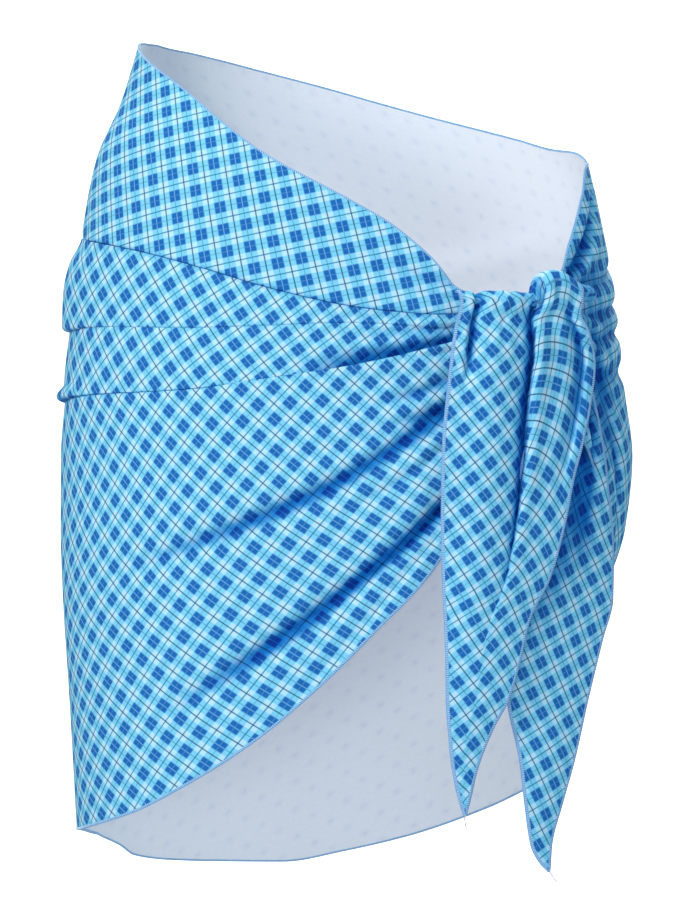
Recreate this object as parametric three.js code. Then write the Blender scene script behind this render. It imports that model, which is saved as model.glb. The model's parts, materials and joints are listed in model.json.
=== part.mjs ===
// A short sarong: a wrap skirt of light plaid swim cloth, wound once round the hips and tied at the left hip.
// Millimetres, +Z up. The wearer faces -Y, so the knot at the left hip lies at +X. The origin is the centre of
// the waist opening. A place on the hips is a turn and a height: turn 0 is the right hip, 90 the front,
// 180 the left hip and 270 the back. "Out" is the distance from the hips' surface to the middle of the cloth.
import * as THREE from "three";

// ---- driving sizes ----
const CLOTH = 1.2; // thickness of the cloth wall
const SEAM = 0.3; // clear space between pieces that lie on each other
const SEAM_TURN = 0.08; // each stretch ends this far short of a seam, in degrees: about 0.2 mm
const TUCK = { reach: 4, share: 0.3 }; // how far a stretch runs under its neighbour, at most this share of it
const FULLNESS = 2.25; // exponent of the oval hip section: 2 is an ellipse, more is squarer
const NEXT_TO_HIPS = 0.8; // out of a stretch that lies on the hips
const OVER_TUCK = 2.6; // out of a stretch that laps over its neighbour
const SIDE_TURN = -24; // seam between the front stretches and the back, behind the right hip
const LEFT_HIP_TURN = 180; // seam between the back and the gathered stretch
const FRONT_END_TURN = 123; // where the front stretches run into the knot
const KNOT = { height: -126, start: 114.6, end: 137.6, out: 5.8, radius: 3.9, pucker: 0.35, puckers: 7 };
const LOOP = { start: 131.5, end: 147, start_height: -117.3, end_height: -121.5, rise: 8, out: 5.9, radius: 4.7 };
const TIE_ROUNDING = 2; // how softly a tied end leaves the hips
const FOLD_FADE = 6; // turn over which a fold fades at its end
const OVER_RIGHT_HIP = 30; // a fold of the back may run past 360 as far as this turn
const GATHER_CENTRE = { turn: 134, height: -126, turn_mm: 2.4, last_turn: 250, clear: 6, full: 22, holds: 0.55 };
const PLEAT_EASE = { before: 0.02, after: 0.05, holds: 0.3 };
const DRAWN_END = { sharpness: 8, least: 0.02 }; // how a roll's ends are drawn in

// ---- tables: one row for each section, fold or pleat, read smoothly in between ----
const HIP_FORM = table("height left right front back", [
  [45, -136, 117, 87, 91],
  [0, -149, 126, 96, 98],
  [-35, -164, 137, 102, 106],
  [-77, -172.7, 146.5, 108, 116],
  [-120, -178.5, 154.5, 111, 125],
  [-180, -183.5, 160.5, 112, 134],
  [-218, -186, 165, 112, 135],
  [-263, -185.8, 160.5, 111, 131],
  [-300, -184.5, 149, 109, 124],
  [-370, -180.3, 131, 106, 115],
  [-450, -176.6, 112, 102, 109],
  [-485, -175, 106, 101, 107],
]);

const FRONT_EDGES = table("turn top crease tuck_1 tuck_2 hem", [
  [-24, 40.5, -85, -139, -182.5, -457],
  [-10, 39.5, -84, -138.5, -182, -452],
  [0, 37.5, -84, -138.5, -181.7, -450],
  [15, 31, -86, -139, -181, -447.5],
  [30, 20.5, -89.7, -139.5, -180.6, -442],
  [45, 5.5, -96, -140.6, -179.8, -432.9],
  [60, -16.5, -106.1, -141.4, -177.7, -415.1],
  [75, -41.5, -118.8, -140.2, -172, -389.5],
  [90, -63.2, -128.8, -138.8, -165.2, -352.5],
  [100, -79.6, -132.5, -139.7, -159.1, -321],
  [108, -99.3, -134, -141.6, -153.1, -292.5],
  [114, -119, -133.5, -140.5, -148.6, -251],
  [120, -123.5, -131.5, -137.5, -144, -205],
  [124, -124, -130, -135, -140, -172],
]);

const BACK_EDGES = table("turn waist hem", [
  [180, -36, -411],
  [195, -28, -419],
  [210, -23.9, -430.5],
  [223, -16, -443],
  [245, -1.8, -462.9],
  [261, 9, -473],
  [277, 19.4, -480],
  [295, 29.2, -479],
  [308, 35, -477],
  [319.5, 38.3, -472.5],
  [325, 39, -465.5],
  [336, 40.5, -457],
]);

// The gathered stretch: its upper edge rises from the knot to the back, its front edge falls from the knot.
const HIP_UPPER_EDGE = table("across turn height", [
  [0, 131, -123],
  [0.2, 140, -108],
  [0.4, 144.5, -92],
  [0.6, 150, -76],
  [0.75, 156.5, -58],
  [0.88, 164, -41.5],
  [1, 180, -36],
]);
const HIP_FRONT_EDGE = table("down turn", [
  [0, 131],
  [0.12, 136],
  [0.25, 141],
  [0.4, 147],
  [0.6, 155],
  [0.8, 164],
  [1, 172],
]);

// How far the sides bulge at a tuck, as a share: the cloth is slack at the hips and taut towards the knot.
const SLACK = table("turn share", [
  [-24, 0.05],
  [-8, 0.9],
  [5, 1],
  [25, 0.55],
  [60, 0.3],
  [100, 0.16],
  [124, 0.08],
]);

// Folds that run round the hips: a trough from start through middle to end.
const FOLDS = foldRows("start_turn start_height mid_turn mid_height end_turn end_height depth width", [
  [40, -292, 82, -244, 116, -192, 3, 14],
  [52, -388, 88, -326, 116, -226, 5.6, 15],
  [66, -408, 96, -322, 118, -214, 2.4, 9],
  [92, -189, 104, -181, 118, -163, 2.2, 6],
  [70, -232, 96, -205, 118, -176, 1.4, 8],
  [78, -150, 98, -147, 118, -141, 1.6, 3.5],
  [88, -104, 104, -112, 119, -125, 1.3, 4],
  [255, -96, 300, -138, 345, -146, 2.6, 13],
  [235, -150, 290, -196, 345, -190, 2.8, 15],
  [188, -120, 232, -168, 275, -236, 3, 17],
  [186, -176, 222, -246, 268, -330, 2.6, 19],
  [196, -74, 240, -96, 292, -118, 1.8, 12],
  [280, -262, 318, -330, 352, -372, 2.4, 20],
]);

// Gathers that fan out of the knot over the left hip: direction from the knot, in degrees above level.
const GATHERS = rowsOf("direction depth spread reach", [
  [57, 2.6, 7, 110],
  [38, 2.2, 6, 95],
  [21, 2.6, 6, 100],
  [5, 2.1, 5, 85],
  [-10, 2.4, 6, 100],
  [-26, 2, 5, 95],
  [-43, 3, 7, 120],
  [-63, 2.4, 7, 150],
]);

// The two tied ends: both side edges, the bow between them and how far they keep off the hips, at each height.
const FRONT_TIE = table("height left right left_y right_y bow clear", [
  [-440, 59.6, 61.6, -111, -111, 0.2, 10],
  [-423, 56.5, 63.5, -112, -110, 0.5, 10],
  [-404, 51.7, 67.3, -113, -107, 1, 10],
  [-381, 49.3, 76.4, -114, -105, 2, 10],
  [-363, 48.1, 86, -115, -103, 3.5, 10],
  [-341, 47.8, 92.6, -116, -101, 4.5, 10],
  [-316, 46.9, 98.7, -117, -98, 6, 12],
  [-290, 45.6, 111.5, -118, -92, 7, 12],
  [-256, 45.1, 120.8, -118, -85, 8.5, 12],
  [-233, 45.3, 125.2, -118, -81, 9, 12.8],
  [-209, 45.9, 131.5, -118, -77, 10, 12.8],
  [-185, 48, 136.5, -117, -73, 11, 12.8],
  [-163, 50.4, 139, -116, -70, 12, 12.8],
  [-145, 52.8, 135.7, -116, -77, 12, 11.4],
  [-133, 55.2, 129, -115.5, -84, 11, 11.4],
  [-121, 58.8, 121, -115, -90, 9, 11.4],
]);
const REAR_TIE = table("height left right left_y right_y bow clear", [
  [-484, 117.8, 119.6, -79, -79, 0.1, 4.1],
  [-469, 109.5, 114.6, -83, -80, 0.3, 4.1],
  [-452, 99.6, 112.7, -85, -78, 1, 4.1],
  [-427, 95.8, 119.5, -87, -74, 2, 4.1],
  [-401, 92.7, 127, -89, -70, 3, 4.1],
  [-366, 85.4, 135.2, -91, -64, 4, 4.1],
  [-329, 82.3, 144.6, -93, -58, 5, 4.1],
  [-305, 81.7, 150.9, -94, -54, 6, 4.1],
  [-272, 84.1, 151.5, -96, -52, 7, 4.1],
  [-248, 87.7, 149, -98, -54, 7.5, 4.1],
  [-225, 92.5, 146.5, -100, -58, 7, 4.1],
  [-204, 97.6, 143.2, -98, -62, 6, 4.1],
  [-180, 100.7, 138, -96, -68, 4.5, 4.1],
  [-150, 103, 131, -92.5, -73, 2.5, 4.1],
]);

// Pleats that run down a tied end: place across at the top and at the foot, and where they begin and fade.
const PLEAT_COLUMNS = "top_across foot_across depth width start fade";
const FRONT_TIE_PLEATS = rowsOf(PLEAT_COLUMNS, [
  [0.14, 0.2, 3.2, 0.035, 0, 0.16],
  [0.33, 0.36, 1.5, 0.04, 0, 0.1],
  [0.5, 0.54, 1.5, 0.04, 0, 0.1],
  [0.62, 0.52, 5.4, 0.05, 0.03, 0.62],
  [0.86, 0.86, 3.2, 0.05, 0, 0.5],
]);
const REAR_TIE_PLEATS = rowsOf(PLEAT_COLUMNS, [
  [0.42, 0.34, 3.4, 0.08, 0, 0.6],
  [0.76, 0.7, 2.6, 0.06, 0.05, 0.55],
]);

// ---- colours ----
const PLAID_BLUE = 0x6fb7ea;
const PLAID_DEEP = 0x4f93d8;
const INSIDE_WHITE = 0xdfe3f2;

// ---- reading the tables ----
function rowsOf(columns, rows) {
  const names = columns.split(" ");
  return rows.map((row) => Object.fromEntries(names.map((name, column) => [name, row[column]])));
}

// A table read by its first column, smooth through every row and never past one.
function table(columns, rows) {
  const names = columns.split(" ");
  const sorted = [...rows].sort((a, b) => a[0] - b[0]);
  const keys = sorted.map((row) => row[0]);
  const slopes = names.map((_, column) => steadySlopes(keys, sorted.map((row) => row[column])));
  return (key) => {
    const at = THREE.MathUtils.clamp(key, keys[0], keys[keys.length - 1]);
    let row = 0;
    while (row < keys.length - 2 && keys[row + 1] < at) row += 1;
    const step = keys[row + 1] - keys[row];
    const t = (at - keys[row]) / step;
    const read = (column) =>
      sorted[row][column] * (1 + 2 * t) * (1 - t) ** 2 +
      sorted[row + 1][column] * (3 - 2 * t) * t ** 2 +
      step * t * (1 - t) * (slopes[column][row] * (1 - t) - slopes[column][row + 1] * t);
    return Object.fromEntries(names.map((name, column) => [name, read(column)]));
  };
}

function steadySlopes(keys, values) {
  const rises = keys.slice(1).map((key, i) => (values[i + 1] - values[i]) / (key - keys[i]));
  return keys.map((_, i) => {
    const before = rises[Math.max(i - 1, 0)];
    const after = rises[Math.min(i, rises.length - 1)];
    return before * after > 0 ? (2 * before * after) / (before + after) : 0;
  });
}

// A fold's height is read from its turn along its three points.
function foldRows(columns, rows) {
  return rowsOf(columns, rows).map((fold) => ({
    ...fold,
    path: table("turn height", [
      [fold.start_turn, fold.start_height],
      [fold.mid_turn, fold.mid_height],
      [fold.end_turn, fold.end_height],
    ]),
  }));
}

const mix = THREE.MathUtils.lerp;
const ease = THREE.MathUtils.smoothstep;
const trough = (distance) => Math.exp(-(distance ** 2));

// ---- the hips and what lies on them ----
function hipPoint(turn, height, out) {
  const form = HIP_FORM(height);
  const middle = (form.left + form.right) / 2;
  const halfWidth = (form.right - form.left) / 2;
  const angle = THREE.MathUtils.degToRad(turn);
  const across = -Math.cos(angle);
  const ahead = Math.sin(angle);
  const halfDepth = ahead >= 0 ? form.front : form.back;
  const radius = (Math.abs(across) ** FULLNESS + Math.abs(ahead) ** FULLNESS) ** (-1 / FULLNESS);
  const power = FULLNESS - 1;
  const normal = new THREE.Vector3(
    (Math.sign(across) * Math.abs(across * radius) ** power) / halfWidth,
    (-Math.sign(ahead) * Math.abs(ahead * radius) ** power) / halfDepth,
    0,
  ).normalize();
  const surface = new THREE.Vector3(middle + halfWidth * radius * across, -halfDepth * radius * ahead, height);
  return surface.addScaledVector(normal, out);
}

// How far the folds and gathers sink the cloth at a place on the hips.
function sink(turn, height) {
  return foldDepth(turn, height) + gatherDepth(turn, height);
}

function foldDepth(turn, height) {
  const around = turn < OVER_RIGHT_HIP ? turn + 360 : turn;
  let depth = 0;
  for (const fold of FOLDS) {
    const place = turn >= fold.start_turn ? turn : around;
    const begins = ease(place, fold.start_turn, fold.mid_turn);
    const ends = 1 - ease(place, fold.end_turn - FOLD_FADE, fold.end_turn + FOLD_FADE);
    depth += fold.depth * begins * ends * trough((height - fold.path(place).height) / fold.width);
  }
  return depth;
}

function gatherDepth(turn, height) {
  if (turn < GATHER_CENTRE.turn - 2 || turn > GATHER_CENTRE.last_turn) return 0;
  const along = (turn - GATHER_CENTRE.turn) * GATHER_CENTRE.turn_mm;
  const rise = height - GATHER_CENTRE.height;
  const distance = Math.hypot(along, rise);
  const direction = THREE.MathUtils.radToDeg(Math.atan2(rise, along));
  let depth = 0;
  for (const gather of GATHERS) {
    const begins = ease(distance, GATHER_CENTRE.clear, GATHER_CENTRE.full);
    const ends = 1 - ease(distance, gather.reach * GATHER_CENTRE.holds, gather.reach);
    depth += gather.depth * begins * ends * trough((direction - gather.direction) / gather.spread);
  }
  return depth;
}

// ---- building a closed wall from its middle surface ----
// The wall's two faces lie half its thickness to each side of the middle, and four rims close it.
function wall(name, color, steps, middle) {
  const { across, down } = steps;
  const grid = [];
  for (let j = 0; j <= down; j += 1) {
    for (let i = 0; i <= across; i += 1) grid.push(middle(i / across, j / down));
  }
  const at = (i, j) => j * (across + 1) + i;
  const near = (value, top) => THREE.MathUtils.clamp(value, 0, top);
  const points = [];
  for (const side of [0.5, -0.5]) {
    for (let j = 0; j <= down; j += 1) {
      for (let i = 0; i <= across; i += 1) {
        const along = grid[at(near(i + 1, across), j)].clone().sub(grid[at(near(i - 1, across), j)]);
        const below = grid[at(i, near(j + 1, down))].clone().sub(grid[at(i, near(j - 1, down))]);
        const normal = along.cross(below).normalize();
        points.push(grid[at(i, j)].clone().addScaledVector(normal, -side * CLOTH));
      }
    }
  }
  const back = grid.length;
  const faces = [];
  const quad = (a, b, c, d) => faces.push(a, b, c, a, c, d);
  for (let j = 0; j < down; j += 1) {
    for (let i = 0; i < across; i += 1) {
      quad(at(i, j), at(i, j + 1), at(i + 1, j + 1), at(i + 1, j));
      quad(back + at(i, j), back + at(i + 1, j), back + at(i + 1, j + 1), back + at(i, j + 1));
    }
  }
  for (let i = 0; i < across; i += 1) {
    quad(at(i, 0), at(i + 1, 0), back + at(i + 1, 0), back + at(i, 0));
    quad(at(i + 1, down), at(i, down), back + at(i, down), back + at(i + 1, down));
  }
  for (let j = 0; j < down; j += 1) {
    quad(at(0, j + 1), at(0, j), back + at(0, j), back + at(0, j + 1));
    quad(at(across, j), at(across, j + 1), back + at(across, j + 1), back + at(across, j));
  }
  return solid(name, color, points, faces);
}

// A roll of cloth along a path, with its ends drawn in.
function roll(name, color, steps, centre, radius) {
  const { along, round } = steps;
  const nudge = 0.01;
  const points = [];
  for (let i = 0; i <= along; i += 1) {
    const t = i / along;
    const heading = centre(Math.min(t + nudge, 1)).sub(centre(Math.max(t - nudge, 0))).normalize();
    const outward = new THREE.Vector3(centre(t).x, centre(t).y, 0).normalize();
    const up = heading.clone().cross(outward).normalize();
    const side = up.clone().cross(heading).normalize();
    for (let k = 0; k < round; k += 1) {
      const angle = (2 * Math.PI * k) / round;
      const reach = radius(t, angle);
      points.push(
        centre(t)
          .addScaledVector(side, reach * Math.cos(angle))
          .addScaledVector(up, reach * Math.sin(angle)),
      );
    }
  }
  const first = points.push(centre(0)) - 1;
  const last = points.push(centre(1)) - 1;
  const faces = [];
  for (let k = 0; k < round; k += 1) {
    const next = (k + 1) % round;
    faces.push(first, next, k);
    faces.push(last, along * round + k, along * round + next);
    for (let i = 0; i < along; i += 1) {
      const a = i * round + k;
      const b = i * round + next;
      faces.push(a, b, b + round, a, b + round, a + round);
    }
  }
  return solid(name, color, points, faces);
}

// A named mesh whose faces point out: the faces are turned round where the volume comes out negative.
function solid(name, color, points, faces) {
  let volume = 0;
  for (let i = 0; i < faces.length; i += 3) {
    const [a, b, c] = faces.slice(i, i + 3).map((index) => points[index]);
    volume += a.dot(b.clone().cross(c));
  }
  if (volume < 0) faces.reverse();
  const geometry = new THREE.BufferGeometry();
  geometry.setFromPoints(points);
  geometry.setIndex(faces);
  geometry.computeVertexNormals();
  const material = new THREE.MeshStandardMaterial({ color, roughness: 0.75, metalness: 0 });
  const mesh = new THREE.Mesh(geometry, material);
  mesh.name = name;
  return mesh;
}

// ---- the front: four stretches between the edges of FRONT_EDGES ----
// A stretch runs from one edge to the next. It tucks under a neighbour that laps over it, and it stands off
// the hips by its own out at each end, more at the slack right hip than at the taut knot.
function frontStretch(name, color, down, stretch) {
  const middle = (u, v) => {
    const turn = mix(SIDE_TURN + SEAM_TURN, FRONT_END_TURN, u);
    const edges = FRONT_EDGES(turn);
    const slack = SLACK(turn).share;
    const narrowest = Math.min(edges.crease - edges.tuck_1, edges.tuck_1 - edges.tuck_2);
    const tuck = Math.min(TUCK.reach, narrowest * TUCK.share);
    const top = edges[stretch.from] + (stretch.tuckTop ? tuck : 0);
    const foot = edges[stretch.to] - (stretch.tuckFoot ? tuck : 0);
    const height = mix(top, foot, v);
    const out =
      mix(stretch.topOut, stretch.footOut + stretch.footSlack * slack, ease(v, 0, 1)) +
      stretch.belly * slack * Math.sin(Math.PI * v);
    return hipPoint(turn, height, out - sink(turn, height));
  };
  return wall(name, color, { across: 34, down }, middle);
}

const frontUpper = () =>
  frontStretch("front_upper", PLAID_BLUE, 8, {
    from: "top",
    to: "crease",
    tuckFoot: true,
    topOut: NEXT_TO_HIPS,
    footOut: NEXT_TO_HIPS,
    footSlack: 0,
    belly: 0.6,
  });

const frontBandUpper = () =>
  frontStretch("front_band_upper", PLAID_DEEP, 6, {
    from: "crease",
    to: "tuck_1",
    topOut: OVER_TUCK,
    footOut: OVER_TUCK,
    footSlack: 4.2,
    belly: 2.4,
  });

const frontBandLower = () =>
  frontStretch("front_band_lower", PLAID_BLUE, 6, {
    from: "tuck_1",
    to: "tuck_2",
    tuckTop: true,
    topOut: NEXT_TO_HIPS,
    footOut: OVER_TUCK,
    footSlack: 3.4,
    belly: 0.6,
  });

const frontLower = () =>
  frontStretch("front_lower", PLAID_DEEP, 20, {
    from: "tuck_2",
    to: "hem",
    tuckTop: true,
    topOut: NEXT_TO_HIPS,
    footOut: NEXT_TO_HIPS,
    footSlack: 0,
    belly: 1,
  });

// ---- the back and the gathered left hip ----
function backWrap() {
  const middle = (u, v) => {
    const turn = mix(LEFT_HIP_TURN + SEAM_TURN, 360 + SIDE_TURN - SEAM_TURN, u);
    const edges = BACK_EDGES(turn);
    const height = mix(edges.waist, edges.hem, v);
    return hipPoint(turn, height, NEXT_TO_HIPS - sink(turn, height));
  };
  return wall("back_wrap", INSIDE_WHITE, { across: 30, down: 18 }, middle);
}

function hipGather() {
  const seamFoot = BACK_EDGES(LEFT_HIP_TURN).hem;
  const settles = 0.4; // share of the height over which its gathers spread to the full width
  const middle = (u, v) => {
    const edge = HIP_UPPER_EDGE(u);
    const below = HIP_FRONT_EDGE(v).turn;
    const settled = ease(v, 0, settles);
    const turn = mix(edge.turn, mix(below, LEFT_HIP_TURN, u), settled) - SEAM_TURN;
    const height = mix(edge.height, seamFoot, v);
    return hipPoint(turn, height, NEXT_TO_HIPS - sink(turn, height));
  };
  return wall("hip_gather", PLAID_BLUE, { across: 18, down: 24 }, middle);
}

// ---- the knot and the tied ends ----
// The band's centre line, from the front stretches to the gathered hip.
const knotCentre = (t) => hipPoint(mix(KNOT.start, KNOT.end, t), KNOT.height, KNOT.out);
const drawnIn = (t) => Math.sqrt(Math.max(1 - (2 * t - 1) ** DRAWN_END.sharpness, DRAWN_END.least));

function knotBand() {
  const pucker = (t, angle) => KNOT.pucker * Math.sin(2 * Math.PI * KNOT.puckers * t + angle);
  const radius = (t, angle) => (KNOT.radius + pucker(t, angle)) * drawnIn(t);
  return roll("knot_band", PLAID_DEEP, { along: 24, round: 10 }, knotCentre, radius);
}

// The loop arches out of the band's upper side and comes down on the gathered hip.
function knotLoop() {
  const centre = (t) => {
    const height = mix(LOOP.start_height, LOOP.end_height, t) + LOOP.rise * Math.sin(Math.PI * t);
    return hipPoint(mix(LOOP.start, LOOP.end, t), height, LOOP.out);
  };
  const radius = (t) => LOOP.radius * drawnIn(t);
  return roll("knot_loop", PLAID_BLUE, { along: 14, round: 10 }, centre, radius);
}

// How far in front of the hips' middle their surface lies, and nothing beside the hips.
function hipFront(x, height) {
  const form = HIP_FORM(height);
  const aside = Math.abs((2 * x - form.left - form.right) / (form.right - form.left));
  return form.front * Math.max(1 - aside ** FULLNESS, 0) ** (1 / FULLNESS);
}

// The larger of two distances, with the corner between them rounded.
const further = (a, b, rounding) => (a + b + Math.hypot(a - b, rounding)) / 2;

// A tied end hangs between its side edges, or lies over the hips where they reach further out.
// Its pleats sink it, deepest at the knot.
function tiePoint(edges, pleats, u, v, height) {
  const row = edges(height);
  let depth = 0;
  for (const pleat of pleats) {
    const place = mix(pleat.top_across, pleat.foot_across, v);
    const begins = ease(v, pleat.start - PLEAT_EASE.before, pleat.start + PLEAT_EASE.after);
    const ends = 1 - ease(v, pleat.fade * PLEAT_EASE.holds, pleat.fade);
    depth += pleat.depth * begins * ends * trough((u - place) / pleat.width);
  }
  const x = mix(row.left, row.right, u);
  const hanging = row.bow * 4 * u * (1 - u) - mix(row.left_y, row.right_y, u);
  return new THREE.Vector3(x, depth - further(hanging, hipFront(x, height) + row.clear, TIE_ROUNDING), height);
}

// The front end comes over the top of the knot band and hangs down in front of it.
function frontTie() {
  const curl = { share: 0.2, angle: 105, radius: KNOT.radius + KNOT.pucker + 2 * SEAM + CLOTH / 2 };
  const tip = -440;
  const leaves = KNOT.height - 4; // here it starts to leave the band
  const hangs = KNOT.height - 26; // and from here it hangs by its table
  const middle = (u, v) => {
    const angle = THREE.MathUtils.degToRad(curl.angle * Math.max(1 - v / curl.share, 0));
    const below = Math.max(v - curl.share, 0) / (1 - curl.share);
    const height = mix(KNOT.height, tip, below);
    const centre = knotCentre(u);
    const outward = new THREE.Vector3(centre.x, centre.y, 0).normalize();
    const over = centre
      .clone()
      .addScaledVector(outward, curl.radius * Math.cos(angle))
      .setZ(height + curl.radius * Math.sin(angle));
    return over.lerp(tiePoint(FRONT_TIE, FRONT_TIE_PLEATS, u, below, height), 1 - ease(height, hangs, leaves));
  };
  return wall("tie_front", PLAID_BLUE, { across: 20, down: 30 }, middle);
}

function rearTie() {
  const top = -146;
  const tip = -484;
  const middle = (u, v) => tiePoint(REAR_TIE, REAR_TIE_PLEATS, u, v, mix(top, tip, v));
  return wall("tie_rear", PLAID_DEEP, { across: 14, down: 24 }, middle);
}

const sarong = new THREE.Group();
sarong.add(
  backWrap(),
  frontUpper(),
  frontBandUpper(),
  frontBandLower(),
  frontLower(),
  hipGather(),
  knotBand(),
  knotLoop(),
  frontTie(),
  rearTie(),
);

export default sarong;
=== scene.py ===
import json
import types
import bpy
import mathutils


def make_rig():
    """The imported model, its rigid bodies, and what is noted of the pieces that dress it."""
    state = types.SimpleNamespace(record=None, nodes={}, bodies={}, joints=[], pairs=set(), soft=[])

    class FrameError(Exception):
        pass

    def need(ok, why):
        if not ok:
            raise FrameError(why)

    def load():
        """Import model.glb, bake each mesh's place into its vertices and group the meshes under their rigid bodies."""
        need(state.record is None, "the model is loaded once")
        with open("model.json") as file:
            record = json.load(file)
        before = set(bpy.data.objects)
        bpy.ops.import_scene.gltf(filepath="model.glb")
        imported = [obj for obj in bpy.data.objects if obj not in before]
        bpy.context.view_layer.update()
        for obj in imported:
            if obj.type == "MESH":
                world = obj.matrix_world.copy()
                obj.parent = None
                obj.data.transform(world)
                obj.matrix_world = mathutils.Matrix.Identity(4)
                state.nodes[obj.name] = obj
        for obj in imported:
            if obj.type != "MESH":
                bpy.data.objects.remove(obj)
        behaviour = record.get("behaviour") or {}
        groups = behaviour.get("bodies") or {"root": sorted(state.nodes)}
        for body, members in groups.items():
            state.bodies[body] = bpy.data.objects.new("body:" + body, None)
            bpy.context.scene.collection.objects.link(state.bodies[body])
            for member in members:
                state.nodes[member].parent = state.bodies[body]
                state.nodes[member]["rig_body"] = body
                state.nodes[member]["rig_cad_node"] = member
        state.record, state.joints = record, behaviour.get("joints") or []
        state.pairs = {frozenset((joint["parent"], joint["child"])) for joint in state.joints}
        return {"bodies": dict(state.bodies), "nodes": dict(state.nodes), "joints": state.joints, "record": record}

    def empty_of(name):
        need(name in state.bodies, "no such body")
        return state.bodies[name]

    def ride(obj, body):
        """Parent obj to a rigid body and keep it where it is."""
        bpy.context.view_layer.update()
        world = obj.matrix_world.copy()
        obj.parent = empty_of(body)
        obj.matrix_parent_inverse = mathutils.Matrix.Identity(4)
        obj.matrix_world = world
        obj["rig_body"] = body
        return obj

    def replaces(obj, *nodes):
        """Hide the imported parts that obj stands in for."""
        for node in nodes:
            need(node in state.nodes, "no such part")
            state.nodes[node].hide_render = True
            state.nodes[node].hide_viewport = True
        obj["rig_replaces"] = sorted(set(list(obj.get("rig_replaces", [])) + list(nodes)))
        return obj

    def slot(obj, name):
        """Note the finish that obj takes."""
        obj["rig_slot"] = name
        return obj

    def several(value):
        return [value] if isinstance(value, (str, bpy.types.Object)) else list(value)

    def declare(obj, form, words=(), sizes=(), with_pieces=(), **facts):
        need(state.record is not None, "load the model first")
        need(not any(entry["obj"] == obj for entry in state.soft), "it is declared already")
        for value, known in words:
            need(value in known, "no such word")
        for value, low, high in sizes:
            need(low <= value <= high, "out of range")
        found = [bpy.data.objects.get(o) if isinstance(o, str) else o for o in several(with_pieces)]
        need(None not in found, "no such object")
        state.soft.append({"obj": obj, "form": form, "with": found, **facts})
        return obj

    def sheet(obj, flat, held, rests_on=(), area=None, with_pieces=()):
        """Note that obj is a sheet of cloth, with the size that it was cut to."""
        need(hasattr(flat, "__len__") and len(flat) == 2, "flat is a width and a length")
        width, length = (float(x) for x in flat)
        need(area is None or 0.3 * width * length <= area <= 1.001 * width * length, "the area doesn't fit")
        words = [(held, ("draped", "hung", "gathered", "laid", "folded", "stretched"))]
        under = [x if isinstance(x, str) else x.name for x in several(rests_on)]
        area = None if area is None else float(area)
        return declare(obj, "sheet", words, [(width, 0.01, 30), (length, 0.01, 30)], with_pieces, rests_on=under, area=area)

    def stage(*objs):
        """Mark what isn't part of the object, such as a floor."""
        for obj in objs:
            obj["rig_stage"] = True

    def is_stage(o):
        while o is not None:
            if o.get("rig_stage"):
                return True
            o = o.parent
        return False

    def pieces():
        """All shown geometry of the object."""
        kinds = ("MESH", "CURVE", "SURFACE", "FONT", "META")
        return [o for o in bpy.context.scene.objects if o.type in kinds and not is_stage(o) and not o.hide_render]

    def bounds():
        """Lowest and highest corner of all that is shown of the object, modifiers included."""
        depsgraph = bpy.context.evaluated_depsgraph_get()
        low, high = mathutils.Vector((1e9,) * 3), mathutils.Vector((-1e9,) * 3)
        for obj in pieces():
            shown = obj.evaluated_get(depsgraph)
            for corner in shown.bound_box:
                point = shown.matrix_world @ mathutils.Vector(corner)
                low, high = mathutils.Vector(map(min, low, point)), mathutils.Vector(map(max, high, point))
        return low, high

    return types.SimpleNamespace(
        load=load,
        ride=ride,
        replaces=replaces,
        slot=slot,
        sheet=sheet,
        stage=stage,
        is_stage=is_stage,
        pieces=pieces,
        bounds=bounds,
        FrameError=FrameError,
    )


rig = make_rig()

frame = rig.load()

import json
import math

import bpy
import numpy as np

CAD_BOX = [list(corner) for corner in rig.bounds()]

bl_info = {
    "name": "Tied sarong",
    "version": (1, 0, 0),
    "blender": (4, 5, 0),
    "location": "3D View > Sidebar > Sarong",
    "description": "Builds a wrap skirt of plaid swim cloth, wound round the hips and tied at the left hip",
    "category": "Add Mesh",
}

# Sizes are millimetres here and become metres when a mesh is made. A place on the hips is a turn and a height:
# turn 0 is the right hip, 90 the front, 180 the left hip and 270 the back. "Out" is the distance from the hips'
# surface to the middle of the cloth.
MM = 0.001
SIDE_TURN, FRONT_END_TURN, LEFT_HIP_TURN = -24, 123, 180
SEAM_TURN = 0.004  # how far two pieces that meet at a seam stay apart
FULLNESS = 2.25  # 2 would make the hips an ellipse
NEXT_TO_HIPS = 0.8
TUCK_REACH, TUCK_SHARE = 4, 0.3
KNOT_HEIGHT, KNOT_START, KNOT_END, KNOT_OUT = -126, 114.6, 137.6, 5.8
BAND_RADIUS, KNOT_PUCKER, KNOT_PUCKERS = 2.9, 0.35, 7
TIE_ROUNDING = 2
FOLD_FADE = 6
OVER_RIGHT_HIP = 30  # below this turn a place can also be the far end of a fold of the back
GATHER_TURN, GATHER_HEIGHT, GATHER_TURN_MM, GATHER_LAST_TURN = 134, -126, 2.4, 250
GATHER_CLEAR, GATHER_FULL, GATHER_HOLDS = 6, 22, 0.55
PLEAT_BEFORE, PLEAT_AFTER, PLEAT_HOLDS = 0.02, 0.05, 0.3
DEEPER, DEEPER_GATHERS = 1.35, 1.5  # how much deeper the thin cloth folds than its solid
SHALLOW_DEPTH, DARKEST_DEPTH = 0.8, 6.5  # between these depths a fold goes from light to dark
TIE_TIP, REAR_TIE_TOP, REAR_TIE_TIP = -431.5, -146, -468.2


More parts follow.
